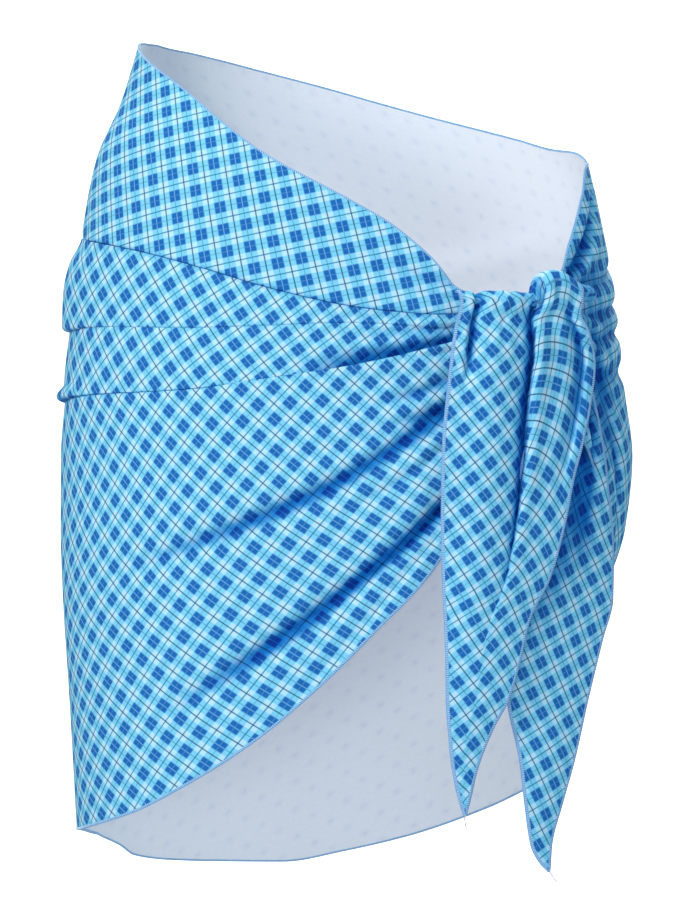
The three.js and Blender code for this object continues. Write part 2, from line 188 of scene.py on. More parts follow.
class Table:
    """Rows read by their first column, smooth through every row and never past one."""

    def __init__(self, columns, rows):
        self.names = columns.split()
        self.rows = np.array(sorted(rows), dtype=float)
        keys = self.rows[:, 0]
        rises = np.diff(self.rows, axis=0) / np.diff(keys)[:, None]
        before = np.vstack([rises[:1], rises])
        after = np.vstack([rises, rises[-1:]])
        same_way = before * after > 0
        total = np.where(same_way, before + after, 1)
        self.slopes = np.where(same_way, 2 * before * after / total, 0)

    def __call__(self, key):
        keys = self.rows[:, 0]
        at = np.clip(key, keys[0], keys[-1])
        row = np.clip(np.searchsorted(keys, at, side="left") - 1, 0, len(keys) - 2)
        step = keys[row + 1] - keys[row]
        t = (at - keys[row]) / step
        read = {}
        for column, name in enumerate(self.names):
            values, slopes = self.rows[:, column], self.slopes[:, column]
            read[name] = (
                values[row] * (1 + 2 * t) * (1 - t) ** 2
                + values[row + 1] * (3 - 2 * t) * t**2
                + step * t * (1 - t) * (slopes[row] * (1 - t) - slopes[row + 1] * t)
            )
        return read


def rows_of(columns, rows):
    """Rows as dictionaries with named columns."""
    return [dict(zip(columns.split(), row)) for row in rows]


HIP_FORM = Table("height left right front back", [
    [45, -136, 117, 87, 91],
    [0, -149, 126, 96, 98],
    [-35, -164, 137, 102, 106],
    [-77, -172.7, 146.5, 108, 116],
    [-120, -178.5, 154.5, 111, 125],
    [-180, -183.5, 160.5, 112, 134],
    [-218, -186, 165, 112, 135],
    [-263, -185.8, 160.5, 111, 131],
    [-300, -184.5, 149, 109, 124],
    [-370, -180.3, 131, 106, 115],
    [-450, -176.6, 112, 102, 109],
    [-485, -175, 106, 101, 107],
])
FRONT_EDGES = Table("turn top crease tuck_1 tuck_2 hem", [
    [-24, 40.5, -85, -139, -182.5, -457],
    [-10, 39.5, -84, -138.5, -182, -452],
    [0, 37.5, -84, -138.5, -181.7, -450],
    [15, 31, -86, -139, -181, -447.5],
    [30, 20.5, -89.7, -139.5, -180.6, -442],
    [45, 5.5, -96, -140.6, -179.8, -432.9],
    [60, -16.5, -106.1, -141.4, -177.7, -415.1],
    [75, -41.5, -118.8, -140.2, -172, -389.5],
    [90, -63.2, -128.8, -138.8, -165.2, -352.5],
    [100, -79.6, -132.5, -139.7, -159.1, -321],
    [108, -99.3, -134, -141.6, -153.1, -292.5],
    [114, -119, -133.5, -140.5, -148.6, -251],
    [120, -123.5, -131.5, -137.5, -144, -205],
    [124, -124, -130, -135, -140, -172],
])
BACK_EDGES = Table("turn waist hem", [
    [180, -36, -411],
    [195, -28, -419],
    [210, -23.9, -430.5],
    [223, -16, -443],
    [245, -1.8, -462.9],
    [261, 9, -473],
    [277, 19.4, -480],
    [295, 29.2, -479],
    [308, 35, -477],
    [319.5, 38.3, -472.5],
    [325, 39, -465.5],
    [336, 40.5, -457],
])
HIP_UPPER_EDGE = Table("across turn height", [
    [0, 131, -123],
    [0.2, 140, -108],
    [0.4, 144.5, -92],
    [0.6, 150, -76],
    [0.75, 156.5, -58],
    [0.88, 164, -41.5],
    [1, 180, -36],
])
HIP_FRONT_EDGE = Table("down turn", [
    [0, 131],
    [0.12, 136],
    [0.25, 141],
    [0.4, 147],
    [0.6, 155],
    [0.8, 164],
    [1, 172],
])
SLACK = Table("turn share", [
    [-24, 0.05],
    [-8, 0.9],
    [5, 1],
    [25, 0.55],
    [60, 0.3],
    [100, 0.16],
    [124, 0.08],
])

# The main folds, which the solids have too, but shallower.
FOLD_COLUMNS = "start_turn start_height mid_turn mid_height end_turn end_height depth width"
FOLDS = rows_of(FOLD_COLUMNS, [
    [28, -304, 82, -244, 118, -177, 4.4, 6.5],
    [42, -394, 86, -314, 118, -222, 5.2, 7.5],
    [66, -408, 96, -322, 118, -214, 0.8, 6],
    [92, -189, 104, -181, 118, -163, 2.8, 4.5],
    [70, -232, 96, -205, 118, -176, 1.2, 6],
    [78, -150, 98, -147, 118, -141, 1.6, 3.5],
    [88, -104, 104, -112, 119, -125, 1.3, 4],
    [255, -96, 300, -138, 345, -146, 2.6, 13],
    [235, -150, 290, -196, 345, -190, 2.8, 15],
    [188, -120, 232, -168, 275, -236, 3, 17],
    [186, -176, 222, -246, 268, -330, 2.6, 19],
    [196, -74, 240, -96, 292, -118, 1.8, 12],
    [280, -262, 318, -330, 352, -372, 2.4, 20],
])
# Fine creases that only the cloth has.
CREASES = rows_of(FOLD_COLUMNS, [
    [98, -160, 108, -158, 119, -149, 1.8, 2.8],
    [96, -200, 107, -193, 119, -172, 2.2, 3.4],
    [84, -262, 101, -232, 119, -190, 2.2, 4.5],
    [92, -300, 104, -268, 118, -208, 2.4, 4],
    [78, -135, 98, -136, 119, -135, 1.6, 2.6],
    [84, -142, 100, -143, 118, -140, 1.4, 2.2],
    [96, -118, 108, -122, 119, -129, 1.6, 2],
    [88, -90, 102, -106, 118, -122, 1.4, 2.4],
    [98, -97, 109, -110, 119, -124, 1.2, 1.8],
])
HIP_PLEATS = rows_of(FOLD_COLUMNS, [
    [137, -117, 150, -97, 172, -44, 4.2, 7],
    [139, -119, 158, -113, 186, -96, 3.4, 4.5],
    [139, -124, 161, -130, 188, -119, 3.2, 4.5],
    [139, -130, 155, -146, 188, -139, 3.2, 4.5],
    [139, -136, 158, -168, 190, -164, 3, 6],
    [141, -150, 154, -188, 162, -264, 3.4, 20],
])
GATHERS = rows_of("direction depth spread reach", [
    [57, 2.6, 7, 110],
    [38, 2.2, 6, 95],
    [21, 2.6, 6, 100],
    [5, 2.1, 5, 85],
    [-10, 2.4, 6, 100],
    [-26, 2, 5, 95],
    [-43, 3, 7, 120],
    [-63, 2.4, 7, 150],
])
FINE_GATHERS = rows_of("direction depth spread reach", [
    [48, 0.9, 2.4, 80],
    [30, 0.8, 2.2, 70],
    [13, 0.9, 2.2, 70],
    [-2, 0.8, 2.0, 60],
    [-18, 0.9, 2.2, 70],
    [-35, 0.9, 2.4, 85],
    [-52, 0.9, 2.6, 95],
])

TIE_COLUMNS = "height left right left_y right_y bow clear"
FRONT_TIE = Table(TIE_COLUMNS, [
    [TIE_TIP, 58.5, 60.3, -111.5, -110.5, 0.2, 10],
    [-423, 55.7, 62.6, -112, -110, 0.5, 10],
    [-404, 51.7, 67.3, -113, -107, 1, 10],
    [-381, 49.3, 76.4, -114, -105, 2, 10],
    [-363, 48.1, 86, -115, -103, 3.5, 10],
    [-341, 47.8, 92.6, -116, -101, 4.5, 10],
    [-316, 46.9, 98.7, -117, -98, 6, 12],
    [-290, 45.6, 111.5, -118, -92, 7, 12],
    [-256, 45.1, 120.8, -118, -85, 8.5, 12],
    [-233, 45.3, 125.2, -118, -81, 9, 12.8],
    [-209, 45.9, 131.5, -118, -77, 10, 12.8],
    [-185, 48, 136.5, -117, -73, 11, 12.8],
    [-163, 50.4, 139, -116, -70, 12, 12.8],
    [-145, 52.8, 135.7, -116, -77, 12, 11.4],
    [-133, 55.2, 129, -115.5, -84, 11, 11.4],
    [-121, 58.8, 121, -115, -90, 9, 11.4],
])
REAR_TIE = Table(TIE_COLUMNS, [
    [REAR_TIE_TIP, 110.2, 111.5, -80, -80, 0.1, 4.1],
    [-462.5, 104.9, 111.9, -83, -79, 0.3, 4.1],
    [-452, 99.6, 112.7, -85, -78, 1, 4.1],
    [-427, 95.8, 119.5, -87, -74, 2, 4.1],
    [-401, 92.7, 127, -89, -70, 3, 4.1],
    [-366, 85.4, 135.2, -91, -64, 4, 4.1],
    [-329, 82.3, 144.6, -93, -58, 5, 4.1],
    [-305, 81.7, 150.9, -94, -54, 6, 4.1],
    [-272, 84.1, 151.5, -96, -52, 7, 4.1],
    [-248, 87.7, 149, -98, -54, 7.5, 4.1],
    [-225, 92.5, 146.5, -100, -58, 7, 4.1],
    [-204, 97.6, 143.2, -98, -62, 6, 4.1],
    [-180, 100.7, 138, -96, -68, 4.5, 4.1],
    [-150, 103, 131, -92.5, -73, 2.5, 4.1],
])
PLEAT_COLUMNS = "top_across foot_across depth width start fade"
REAR_TIE_PLEATS = rows_of(PLEAT_COLUMNS, [
    [0.42, 0.34, 3.4, 0.08, 0, 0.6],
    [0.75, 0.66, 10, 0.12, 0.02, 0.55],
])


# ---- small helpers ----
def mix(a, b, t):
    return a + (b - a) * t


def ease(value, low=0.0, high=1.0):
    t = np.clip((np.asarray(value, dtype=float) - low) / (high - low), 0, 1)
    return t * t * (3 - 2 * t)


def trough(distance):
    return np.exp(-(distance**2))


def unit(vectors):
    return vectors / np.maximum(np.linalg.norm(vectors, axis=-1, keepdims=True), 1e-9)


def linear(hex_colour):
    """A colour as a screen shows it, in the linear values that a shader takes."""
    channels = [int(hex_colour[i:i + 2], 16) / 255 for i in (1, 3, 5)]
    return opaque(c / 12.92 if c <= 0.04045 else ((c + 0.055) / 1.055) ** 2.4 for c in channels)


def opaque(colour):
    return [*colour, 1.0]


def add_object(name, data):
    thing = bpy.data.objects.new(name, data)
    bpy.context.scene.collection.objects.link(thing)
    return thing


def smooth(mesh):
    mesh.polygons.foreach_set("use_smooth", np.ones(len(mesh.polygons), dtype=bool))


# ---- the hips and what lies on them ----
def hip_point(turn, height, out):
    turn, height, out = np.broadcast_arrays(turn, height, out)
    form = HIP_FORM(height)
    middle = (form["left"] + form["right"]) / 2
    half_width = (form["right"] - form["left"]) / 2
    angle = np.radians(turn)
    across, ahead = -np.cos(angle), np.sin(angle)
    half_depth = np.where(ahead >= 0, form["front"], form["back"])
    radius = (np.abs(across) ** FULLNESS + np.abs(ahead) ** FULLNESS) ** (-1 / FULLNESS)
    power = FULLNESS - 1
    normal_x = np.sign(across) * np.abs(across * radius) ** power / half_width
    normal_y = -np.sign(ahead) * np.abs(ahead * radius) ** power / half_depth
    size = np.hypot(normal_x, normal_y)
    return np.stack([
        middle + half_width * radius * across + out * normal_x / size,
        -half_depth * radius * ahead + out * normal_y / size,
        height,
    ], axis=-1)


def fold_depth(turn, height, folds):
    around = np.where(turn < OVER_RIGHT_HIP, turn + 360, turn)
    depth = 0
    for fold in folds:
        path = Table("turn height", [
            [fold["start_turn"], fold["start_height"]],
            [fold["mid_turn"], fold["mid_height"]],
            [fold["end_turn"], fold["end_height"]],
        ])
        place = np.where(turn >= fold["start_turn"], turn, around)
        begins = ease(place, fold["start_turn"], fold["mid_turn"])
        ends = 1 - ease(place, fold["end_turn"] - FOLD_FADE, fold["end_turn"] + FOLD_FADE)
        depth = depth + fold["depth"] * begins * ends * trough((height - path(place)["height"]) / fold["width"])
    return depth


def gather_depth(turn, height, gathers):
    along = (turn - GATHER_TURN) * GATHER_TURN_MM
    rise = height - GATHER_HEIGHT
    distance = np.hypot(along, rise)
    direction = np.degrees(np.arctan2(rise, along))
    depth = 0
    for gather in gathers:
        begins = ease(distance, GATHER_CLEAR, GATHER_FULL)
        ends = 1 - ease(distance, gather["reach"] * GATHER_HOLDS, gather["reach"])
        aside = (direction - gather["direction"]) / gather["spread"]
        depth = depth + gather["depth"] * begins * ends * trough(aside)
    return np.where((turn < GATHER_TURN - 2) | (turn > GATHER_LAST_TURN), 0, depth)


def sink(turn, height):
    turn, height = np.broadcast_arrays(turn, height)
    folds = DEEPER * fold_depth(turn, height, FOLDS) + fold_depth(turn, height, CREASES + HIP_PLEATS)
    gathers = DEEPER_GATHERS * gather_depth(turn, height, GATHERS) + gather_depth(turn, height, FINE_GATHERS)
    return folds + gathers


def hollow_of(depth):
    """How much a fold of this depth keeps the light out: 0 on the open cloth, 1 deep down."""
    return ease(depth, SHALLOW_DEPTH, DARKEST_DEPTH)


# ---- where the print lies: cloth coordinates in millimetres along and across the plaid ----
TURN_STEP, HEIGHT_STEP = 1.5, 6.0
PRINT_TURNS = np.arange(-24, 361, TURN_STEP)
PRINT_HEIGHTS = np.arange(-492, 50, HEIGHT_STEP)
UPPER_PRINT_HEIGHT, UPPER_RISE = -100, 12
SLACK_ROUND_HIPS = 0.93
SIDE_PRINT_TURN, JOIN_PRINT_TURN, JOIN_SHARE = 10, 45, 0.55
SETTLES_WITHIN = 60
RISE_TOP, RISE_FOOT, RISE_STEP = 60, -500, 2.0


def lengths_along(grid):
    """Distance along each row of points from the row's first point."""
    steps = np.linalg.norm(np.diff(grid, axis=1), axis=2)
    return np.concatenate([np.zeros((len(grid), 1)), np.cumsum(steps, axis=1)], axis=1)


def girth_lengths():
    """Distance round the hips from turn 0, at each of PRINT_HEIGHTS and PRINT_TURNS."""
    lengths = lengths_along(hip_point(PRINT_TURNS[None, :], PRINT_HEIGHTS[:, None], NEXT_TO_HIPS))
    first = int(np.argmin(np.abs(PRINT_TURNS)))
    return lengths - lengths[:, first:first + 1]


GIRTH = girth_lengths()


def girth_at(turn, height):
    """Distance round the hips from turn 0, at any turn and height."""
    turn, height = np.broadcast_arrays(turn, height)
    column = np.clip((turn - PRINT_TURNS[0]) / TURN_STEP, 0, len(PRINT_TURNS) - 1.001)
    row = np.clip((height - PRINT_HEIGHTS[0]) / HEIGHT_STEP, 0, len(PRINT_HEIGHTS) - 1.001)
    i, j = column.astype(int), row.astype(int)
    s, t = column - i, row - j
    return mix(mix(GIRTH[j, i], GIRTH[j, i + 1], s), mix(GIRTH[j + 1, i], GIRTH[j + 1, i + 1], s), t)


def run_down(angle, steps):
    """How far the plaid moves along and across itself down a line of cloth, where its lines rise by an angle."""
    between = (angle[1:] + angle[:-1]) / 2
    p = np.concatenate([[0], np.cumsum(-np.sin(between) * steps)])
    q = np.concatenate([[0], np.cumsum(np.cos(between) * steps)])
    return p, q


def print_place(turn, height, rise, middle_turn, shift=0.0, steady_rise=None):
    """Cloth coordinates where the plaid's lines rise by an angle, given as a table of height or as one number.
    shift moves the print along the girth, and away from middle_turn the rise settles at steady_rise."""
    turn, height = np.broadcast_arrays(turn, height)
    steps = np.arange(RISE_TOP, RISE_FOOT, -RISE_STEP)
    angle = np.radians(rise(steps)["rise"]) if callable(rise) else np.full(steps.shape, math.radians(rise))
    down_p, down_q = run_down(angle, RISE_STEP)
    here = np.interp(-height, -steps, angle)
    along = girth_at(turn, height) - girth_at(middle_turn, height) + shift
    if steady_rise is not None:
        here = mix(here, math.radians(steady_rise), along**2 / (along**2 + SETTLES_WITHIN**2))
    p = np.interp(-height, -steps, down_p) + along * np.cos(here)
    q = np.interp(-height, -steps, down_q) + along * np.sin(here)
    return np.stack([p, q], axis=-1)


def upper_print(turn, height):
    """Cloth coordinates of the upper front, whose upright lines lean as seen from ahead: little at the side and
    more towards the knot."""
    steps = np.arange(SIDE_PRINT_TURN, FRONT_END_TURN + 1, 1.0)
    foot = hip_point(steps, UPPER_PRINT_HEIGHT, NEXT_TO_HIPS)[:, 0]
    seen = np.linspace(-170, 120, 200)
    lean = np.radians(np.interp(seen, [-160, -30, 80], [3, 14, 17]))

    def straight_down(from_turn):
        """The turn where the upright line through a place crosses UPPER_PRINT_HEIGHT."""
        x = hip_point(from_turn, height, NEXT_TO_HIPS)[..., 0]
        return np.interp(x + (height - UPPER_PRINT_HEIGHT) * np.tan(np.interp(x, seen, lean)), foot, steps)

    round_side = straight_down(SIDE_PRINT_TURN) + turn - SIDE_PRINT_TURN
    meets = np.where(turn < SIDE_PRINT_TURN, round_side, straight_down(np.maximum(turn, SIDE_PRINT_TURN)))
    p = girth_at(meets, UPPER_PRINT_HEIGHT)
    from_join = girth_at(turn, height) - girth_at(JOIN_PRINT_TURN, height)
    by_girth = girth_at(straight_down(JOIN_PRINT_TURN), UPPER_PRINT_HEIGHT) + from_join
    p = SLACK_ROUND_HIPS * np.where(turn < JOIN_PRINT_TURN, mix(p, by_girth, JOIN_SHARE), p)
    q = print_place(turn, height, UPPER_RISE, 60)[..., 1]
    return np.stack([p, q], axis=-1)


def lay_flat(grid, spine, rise, start=(0.0, 0.0)):
    """Cloth coordinates of a hanging piece, by the lengths along its rows from a spine column. rise is in degrees,
    one for each row or one for all."""
    lengths = lengths_along(grid)
    along = lengths - lengths[:, spine:spine + 1]
    angle = np.radians(np.broadcast_to(rise, (len(grid),)).astype(float))
    down_p, down_q = run_down(angle, np.linalg.norm(np.diff(grid[:, spine], axis=0), axis=1))
    p = (start[0] + down_p)[:, None] + along * np.cos(angle)[:, None]
    q = (start[1] + down_q)[:, None] + along * np.sin(angle)[:, None]
    return np.stack([p, q], axis=-1)


# ---- cloth as a thin closed shell ----
def out_of(grid, around=False):
    """The outward direction of a sheet of points: rows run down and columns to the right, seen from outside."""
    if around:
        below = np.roll(grid, -1, axis=0) - np.roll(grid, 1, axis=0)
    else:
        below = np.gradient(grid, axis=0)
    along = np.gradient(grid, axis=1)
    return unit(-np.cross(along, below))


def shell(name, grid, prints, around=False, hollow=None, lined_rows=0):
    """A closed shell round a sheet of points. prints holds (first column, last column, cloth coordinates), one
    for each stretch of print. With around, the first row follows the last, as on a tube. hollow says how deep in
    a fold each point is, and the first lined_rows rows show the print on both sides."""
    thickness = bpy.context.scene.sarong_cloth.thickness * 1000
    rows, columns = grid.shape[:2]
    normal = out_of(grid, around)
    outer = grid + normal * thickness / 2
    inner = grid - normal * thickness / 2
    points = np.concatenate([outer.reshape(-1, 3), inner.reshape(-1, 3)]) * MM
    back = rows * columns
    index = np.arange(rows * columns).reshape(rows, columns)
    if around:
        index = np.vstack([index, index[:1]])
    a, b = index[:-1, :-1], index[1:, :-1]
    c, d = index[1:, 1:], index[:-1, 1:]
    groups = [(np.stack([a, b, c, d], axis=-1), 0), (np.stack([a, d, c, b], axis=-1) + back, 1)]
    left, right, top, foot = index[:, 0], index[:, -1], index[0], index[-1]
    rims = [(left[1:], left[:-1]), (right[:-1], right[1:])]
    if not around:
        rims += [(top[:-1], top[1:]), (foot[1:], foot[:-1])]
    for start, end in rims:
        groups.append((np.stack([start, end, end + back, start + back], axis=-1), 1))
    quads = np.concatenate([faces.reshape(-1, 4) for faces, _ in groups])
    material = np.concatenate([np.full(faces.size // 4, slot) for faces, slot in groups])
    corner = quads % back
    material[(corner // columns).max(axis=1) < lined_rows] = 0

    mesh = bpy.data.meshes.new(name)
    mesh.vertices.add(len(points))
    mesh.vertices.foreach_set("co", points.ravel())
    mesh.loops.add(quads.size)
    mesh.loops.foreach_set("vertex_index", quads.ravel().astype(np.int32))
    mesh.polygons.add(len(quads))
    mesh.polygons.foreach_set("loop_start", np.arange(0, quads.size, 4, dtype=np.int32))
    mesh.polygons.foreach_set("material_index", material.astype(np.int32))
    mesh.update(calc_edges=True)

    face_column = (corner % columns).min(axis=1)
    cloth = np.zeros((len(quads), 4, 2))
    for first, last, coordinates in prints:
        chosen = (face_column >= first) & (face_column < last)
        cloth[chosen] = coordinates.reshape(-1, 2)[corner[chosen]]
    if hollow is not None:
        both_sides = np.tile(np.ravel(hollow), 2).astype(np.float32)
        mesh.attributes.new("Hollow", "FLOAT", "POINT").data.foreach_set("value", both_sides)
    mesh.uv_layers.new(name="Cloth").data.foreach_set("uv", (cloth * MM).ravel())
    smooth(mesh)
    mesh.validate()
    mesh.set_sharp_from_angle(angle=math.radians(60))
    return add_object(name, mesh)


def cut_of(grid):
    """Width, length and area of a piece laid flat, in metres."""
    along = np.linalg.norm(np.diff(grid, axis=1), axis=2).sum(axis=1).max() * MM
    down = np.linalg.norm(np.diff(grid, axis=0), axis=2).sum(axis=0).max() * MM
    across = np.diff(grid, axis=1)[:-1]
    below = np.diff(grid, axis=0)[:, :-1]
    area = np.linalg.norm(np.cross(across, below), axis=2).sum() * MM * MM
    return (along, down), min(area, along * down)


PIECES = {}
EDGES = {}
FINE_EDGE, HEM_EDGE, TIE_EDGE = 1.1, 1.6, 1.9
TIP_EDGE, TIP_EDGE_SHARE = 0.25, 0.42


def make_cloth(node, grid, prints, held, rests_on, **looks):
    """A piece of cloth in place of the solid of that node: its shell, its finishes and its facts for
    declare_sheets."""
    cloth = bpy.context.scene.sarong_cloth
    if isinstance(prints, np.ndarray):
        prints = [(0, grid.shape[1], prints)]
    thing = shell(node + "_cloth", grid, prints, **looks)
    thing.data.materials.append(plaid_cloth(cloth))
    thing.data.materials.append(cloth_inside(cloth))
    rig.ride(thing, "root")
    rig.replaces(thing, node)
    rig.slot(thing, "plaid_cloth")
    flat, area = cut_of(np.concatenate([grid, grid[:1]]) if looks.get("around") else grid)
    PIECES[thing.name] = {"flat": flat, "area": area, "held": held, "rests_on": rests_on, "trims": []}


def keep_edge(piece, grid, side, width, narrows=False):
    """Notes one edge of a piece for its edging: points, outward and inward directions, and its width, which
    narrows to the tip of a tied end."""
    sheet = np.stack([grid, out_of(grid)])
    if side in ("left", "right"):
        sheet = sheet.swapaxes(1, 2)
    if side in ("foot", "right"):
        sheet = sheet[:, ::-1]
    (points, out), inward = sheet[:, 0], sheet[0, 2] - sheet[0, 0]
    tangent = unit(np.gradient(points, axis=0))
    for other in (tangent, out):
        inward = inward - (inward * other).sum(axis=1, keepdims=True) * other
    across = np.linalg.norm(grid[:, -1] - grid[:, 0], axis=1)
    widths = np.full(len(points), float(width))
    if narrows:
        widths = np.minimum(widths, TIP_EDGE_SHARE * across + TIP_EDGE)
    EDGES.setdefault(piece, []).append((points, out, unit(inward), widths))


# ---- the pieces ----
FRONT_COLUMNS = 210
CURL_ROWS = 7
UPPER_ROWS, UPPER_BAND_ROWS, LOWER_BAND_ROWS, LOWER_ROWS = 84, 48, 56, 175
# Between which turns the loose lips of the slack side close, the crease opens, the lower band goes under the
# stretch below it, and the valley and the ridge beside the second tuck rise to their full depth.
LIP_CLOSES, CREASE_OPENS, GOES_UNDER, TUCK_DEEPENS = (8, 40), (6, 24), (58, 72), (78, 98)
CREASE_CURL, FLAT_CURL, CREASE_GAP = 0.9, 0.05, 0.45
DIVES, ROLLS = 62, 118  # how far an edge curls, in degrees, before it runs on straight
SHOULDER, BULGE, FLIP, VALLEY_SINK, RIDGE, RIDGE_WIDTH = 3.4, 5.2, 4.4, 5.5, 3.0, 16
FLIP_DROP = 2.6  # how far the folded edges hang over the tucks at the slack side
BEHIND = 1.1  # how much nearer the hips the rows lie that another stretch hides
TUCK_CLOSES = 11  # how far the lower band runs on behind the ridge, so that the fold stays shut


def front_columns():
    turn = np.linspace(SIDE_TURN + SEAM_TURN, FRONT_END_TURN, FRONT_COLUMNS)
    edges = FRONT_EDGES(turn)
    edges["slack"] = SLACK(turn)["share"]
    edges["lip"] = edges["slack"] * (1 - ease(turn, *LIP_CLOSES))
    narrowest = np.minimum(edges["crease"] - edges["tuck_1"], edges["tuck_1"] - edges["tuck_2"])
    edges["tuck"] = np.minimum(TUCK_REACH, narrowest * TUCK_SHARE)
    edges["curl"] = np.minimum(0.8 + 2.4 * edges["lip"], narrowest * 0.2)
    edges["opens"] = ease(turn, *CREASE_OPENS)
    edges["crease_curl"] = np.minimum(CREASE_CURL, edges["curl"]) * edges["opens"] + FLAT_CURL
    edges["under"] = ease(turn, *GOES_UNDER)
    edges["deep"] = ease(turn, *TUCK_DEEPENS)
    edges["turn"] = turn
    return edges


def curled(sheet, radius, degrees, top, dives=0.0):
    """Rows added over the top or under the foot of a stretch, where its folded edge curls towards the hips and
    then dives on between the layers. A sheet is heights, outs and hollows."""
    flip = -1 if top else 1
    height, out, hollow = (part[::flip] for part in sheet)
    angle = np.radians(np.linspace(8, degrees, CURL_ROWS))[:, None]
    rise, inward = radius * np.sin(angle), radius * (1 - np.cos(angle))
    last = math.radians(degrees)
    deeper = np.array([0.25, 0.5, 0.75, 1.0])[:, None] * dives
    rise = np.vstack([rise, rise[-1:] + deeper * math.cos(last)])
    inward = np.vstack([inward, inward[-1:] + deeper * math.sin(last)])
    steps = np.array([0.0, 0.0, 0.1, 0.2, 0.35, 0.5, 0.7, 0.9, 1, 1, 1])[:, None]
    dark = np.broadcast_to(steps, rise.shape) * ease(dives, 0, 3)
    height = np.vstack([height, height[-1:] - flip * rise])
    out = np.vstack([out, out[-1:] - inward])
    hollow = np.vstack([hollow, np.maximum(hollow[-1:], dark)])
    return height[::flip], out[::flip], hollow[::flip]


def on_hips(turn, sheet):
    height, out, hollow = sheet
    turn = np.broadcast_to(turn, height.shape)
    depth = sink(turn, height)
    return hip_point(turn, height, out - depth), turn, height, np.clip(hollow + hollow_of(depth), 0, 1)


def shows_below(tuck, height):
    """0 on the rows that a tuck hides and 1 on those that show below it."""
    return ease(tuck + 0.8 - height, 0, 3.5)


def upper_stretch(e):
    """From the slanting upper edge to the crease, where it dives under the stretch below."""
    opens, curl = e["opens"], e["crease_curl"]
    v = (1 - (1 - np.linspace(0, 1, UPPER_ROWS)) ** 1.5)[:, None]
    height = mix(e["top"], e["crease"] + curl + CREASE_GAP * opens, v)
    above = height - e["crease"]
    dip = 0.9 * (1 - opens) * (1 - ease(above, 0, 6))
    out = NEXT_TO_HIPS + 0.6 * e["slack"] * np.sin(np.pi * v) - dip
    hollow = 0.25 * opens * (1 - ease(above, 0.5, 3))
    return on_hips(e["turn"], curled((height, out, hollow), curl, DIVES, False, mix(1.0, 4.5, opens)))


def upper_band(e):
    """Rolls out of the crease, bulges at the slack side and laps over the first tuck."""
    opens, lip, top_curl = e["opens"], e["lip"], e["crease_curl"]
    v = np.linspace(0, 1, UPPER_BAND_ROWS)[:, None]
    height = mix(e["crease"] - top_curl - CREASE_GAP * opens, e["tuck_1"] - FLIP_DROP * lip + e["curl"], v)
    below = e["crease"] - height
    shoulder = SHOULDER * lip * ease(below, 0, 16) * (1 - ease(v, 0.35, 1))
    out = mix(mix(0.75, 1.3, opens), NEXT_TO_HIPS + 0.4 + BULGE * lip, ease(v)) + shoulder
    out = out + e["slack"] * np.sin(np.pi * v)
    hollow = 0.2 * opens * (1 - ease(below, 0.5, 2.5))
    sheet = curled((height, out, hollow), top_curl, ROLLS, True, 4.5 * opens)
    return on_hips(e["turn"], curled(sheet, e["curl"], ROLLS, False, 1.0 + 3.0 * lip))


def lower_band(e):
    """Flips out over the second tuck at the slack side, and dives under the lower stretch towards the knot."""
    v = (1 - (1 - np.linspace(0, 1, LOWER_BAND_ROWS)) ** 1.2)[:, None]
    under, deep, lip = e["under"], e["deep"], e["lip"]
    foot_curl = e["curl"] * mix(1, 0.5, under)
    foot = e["tuck_2"] - FLIP_DROP * lip + 0.5 * under
    height = mix(e["tuck_1"] + e["tuck"], foot + foot_curl - TUCK_CLOSES * deep, v)
    valley_reach = mix(15, 8, ease(e["turn"], 88, 118))
    valley = deep * (1 - ease(height - foot, 0, valley_reach)) ** 1.4
    shown = shows_below(e["tuck_1"], height)
    flip = FLIP * lip * (1 - ease(height - foot, 3, 10))
    foot_out = NEXT_TO_HIPS + mix(0.4 + 0.8 * lip, 0, under)
    out = mix(NEXT_TO_HIPS - BEHIND, mix(NEXT_TO_HIPS + 0.1, foot_out, ease(v, 0.1, 1)), shown)
    out = out + 0.8 * e["slack"] * np.sin(np.pi * v) - VALLEY_SINK * valley + flip
    hollow = np.minimum(1.25 * valley, 1) + 0.5 * lip * (1 - shown)
    return on_hips(e["turn"], curled((height, out, hollow), foot_curl, 70, False, 3.0))


def lower_stretch(e):
    """The rest of the front, down to the hem. Towards the knot its upper edge is a ridge over the lower band."""
    v = (np.linspace(0, 1, LOWER_ROWS) ** 1.25)[:, None]
    under, deep = e["under"], e["deep"]
    top = e["tuck_2"] + e["tuck"] * (1 - under)
    top_curl = np.maximum(np.minimum(1.5, e["curl"] * 1.6) * deep, FLAT_CURL)
    height = mix(top - top_curl - 0.2 * under, e["hem"], v)
    ridge = RIDGE * deep * (1 - ease(top - height, 0, RIDGE_WIDTH))
    shown = mix(shows_below(e["tuck_2"], height), 1, under)
    out = mix(NEXT_TO_HIPS - BEHIND, NEXT_TO_HIPS, shown) + ridge + e["slack"] * np.sin(np.pi * v)
    hollow = 0.5 * e["lip"] * (1 - shown)
    return on_hips(e["turn"], curled((height, out, hollow), top_curl, 115, True, 4.0 * under))


BAND_RISE = Table("height rise", [
    [-80, 29],
    [-139, 35],
    [-185, 43],
])
LOWER_RISE = Table("height rise", [
    [-140, 47],
    [-200, 49],
    [-330, 54],
    [-460, 56],
])


PRINT_MIDDLE_TURN = 60
SIDE_LEAN, SIDE_LEAN_LEVEL, BAND_LEAN_SHARE = 0.34, -150, 0.4
BELOW_FOLD_LEAN, LEANING_HEIGHT = 0.22, 70
HIDDEN_IN_TUCK = 13
BAND_STEADY_RISE, BACK_STEADY_RISE = 41, 17
LONG_FOLD = Table("turn height", [[28, -304], [82, -244], [118, -177]])


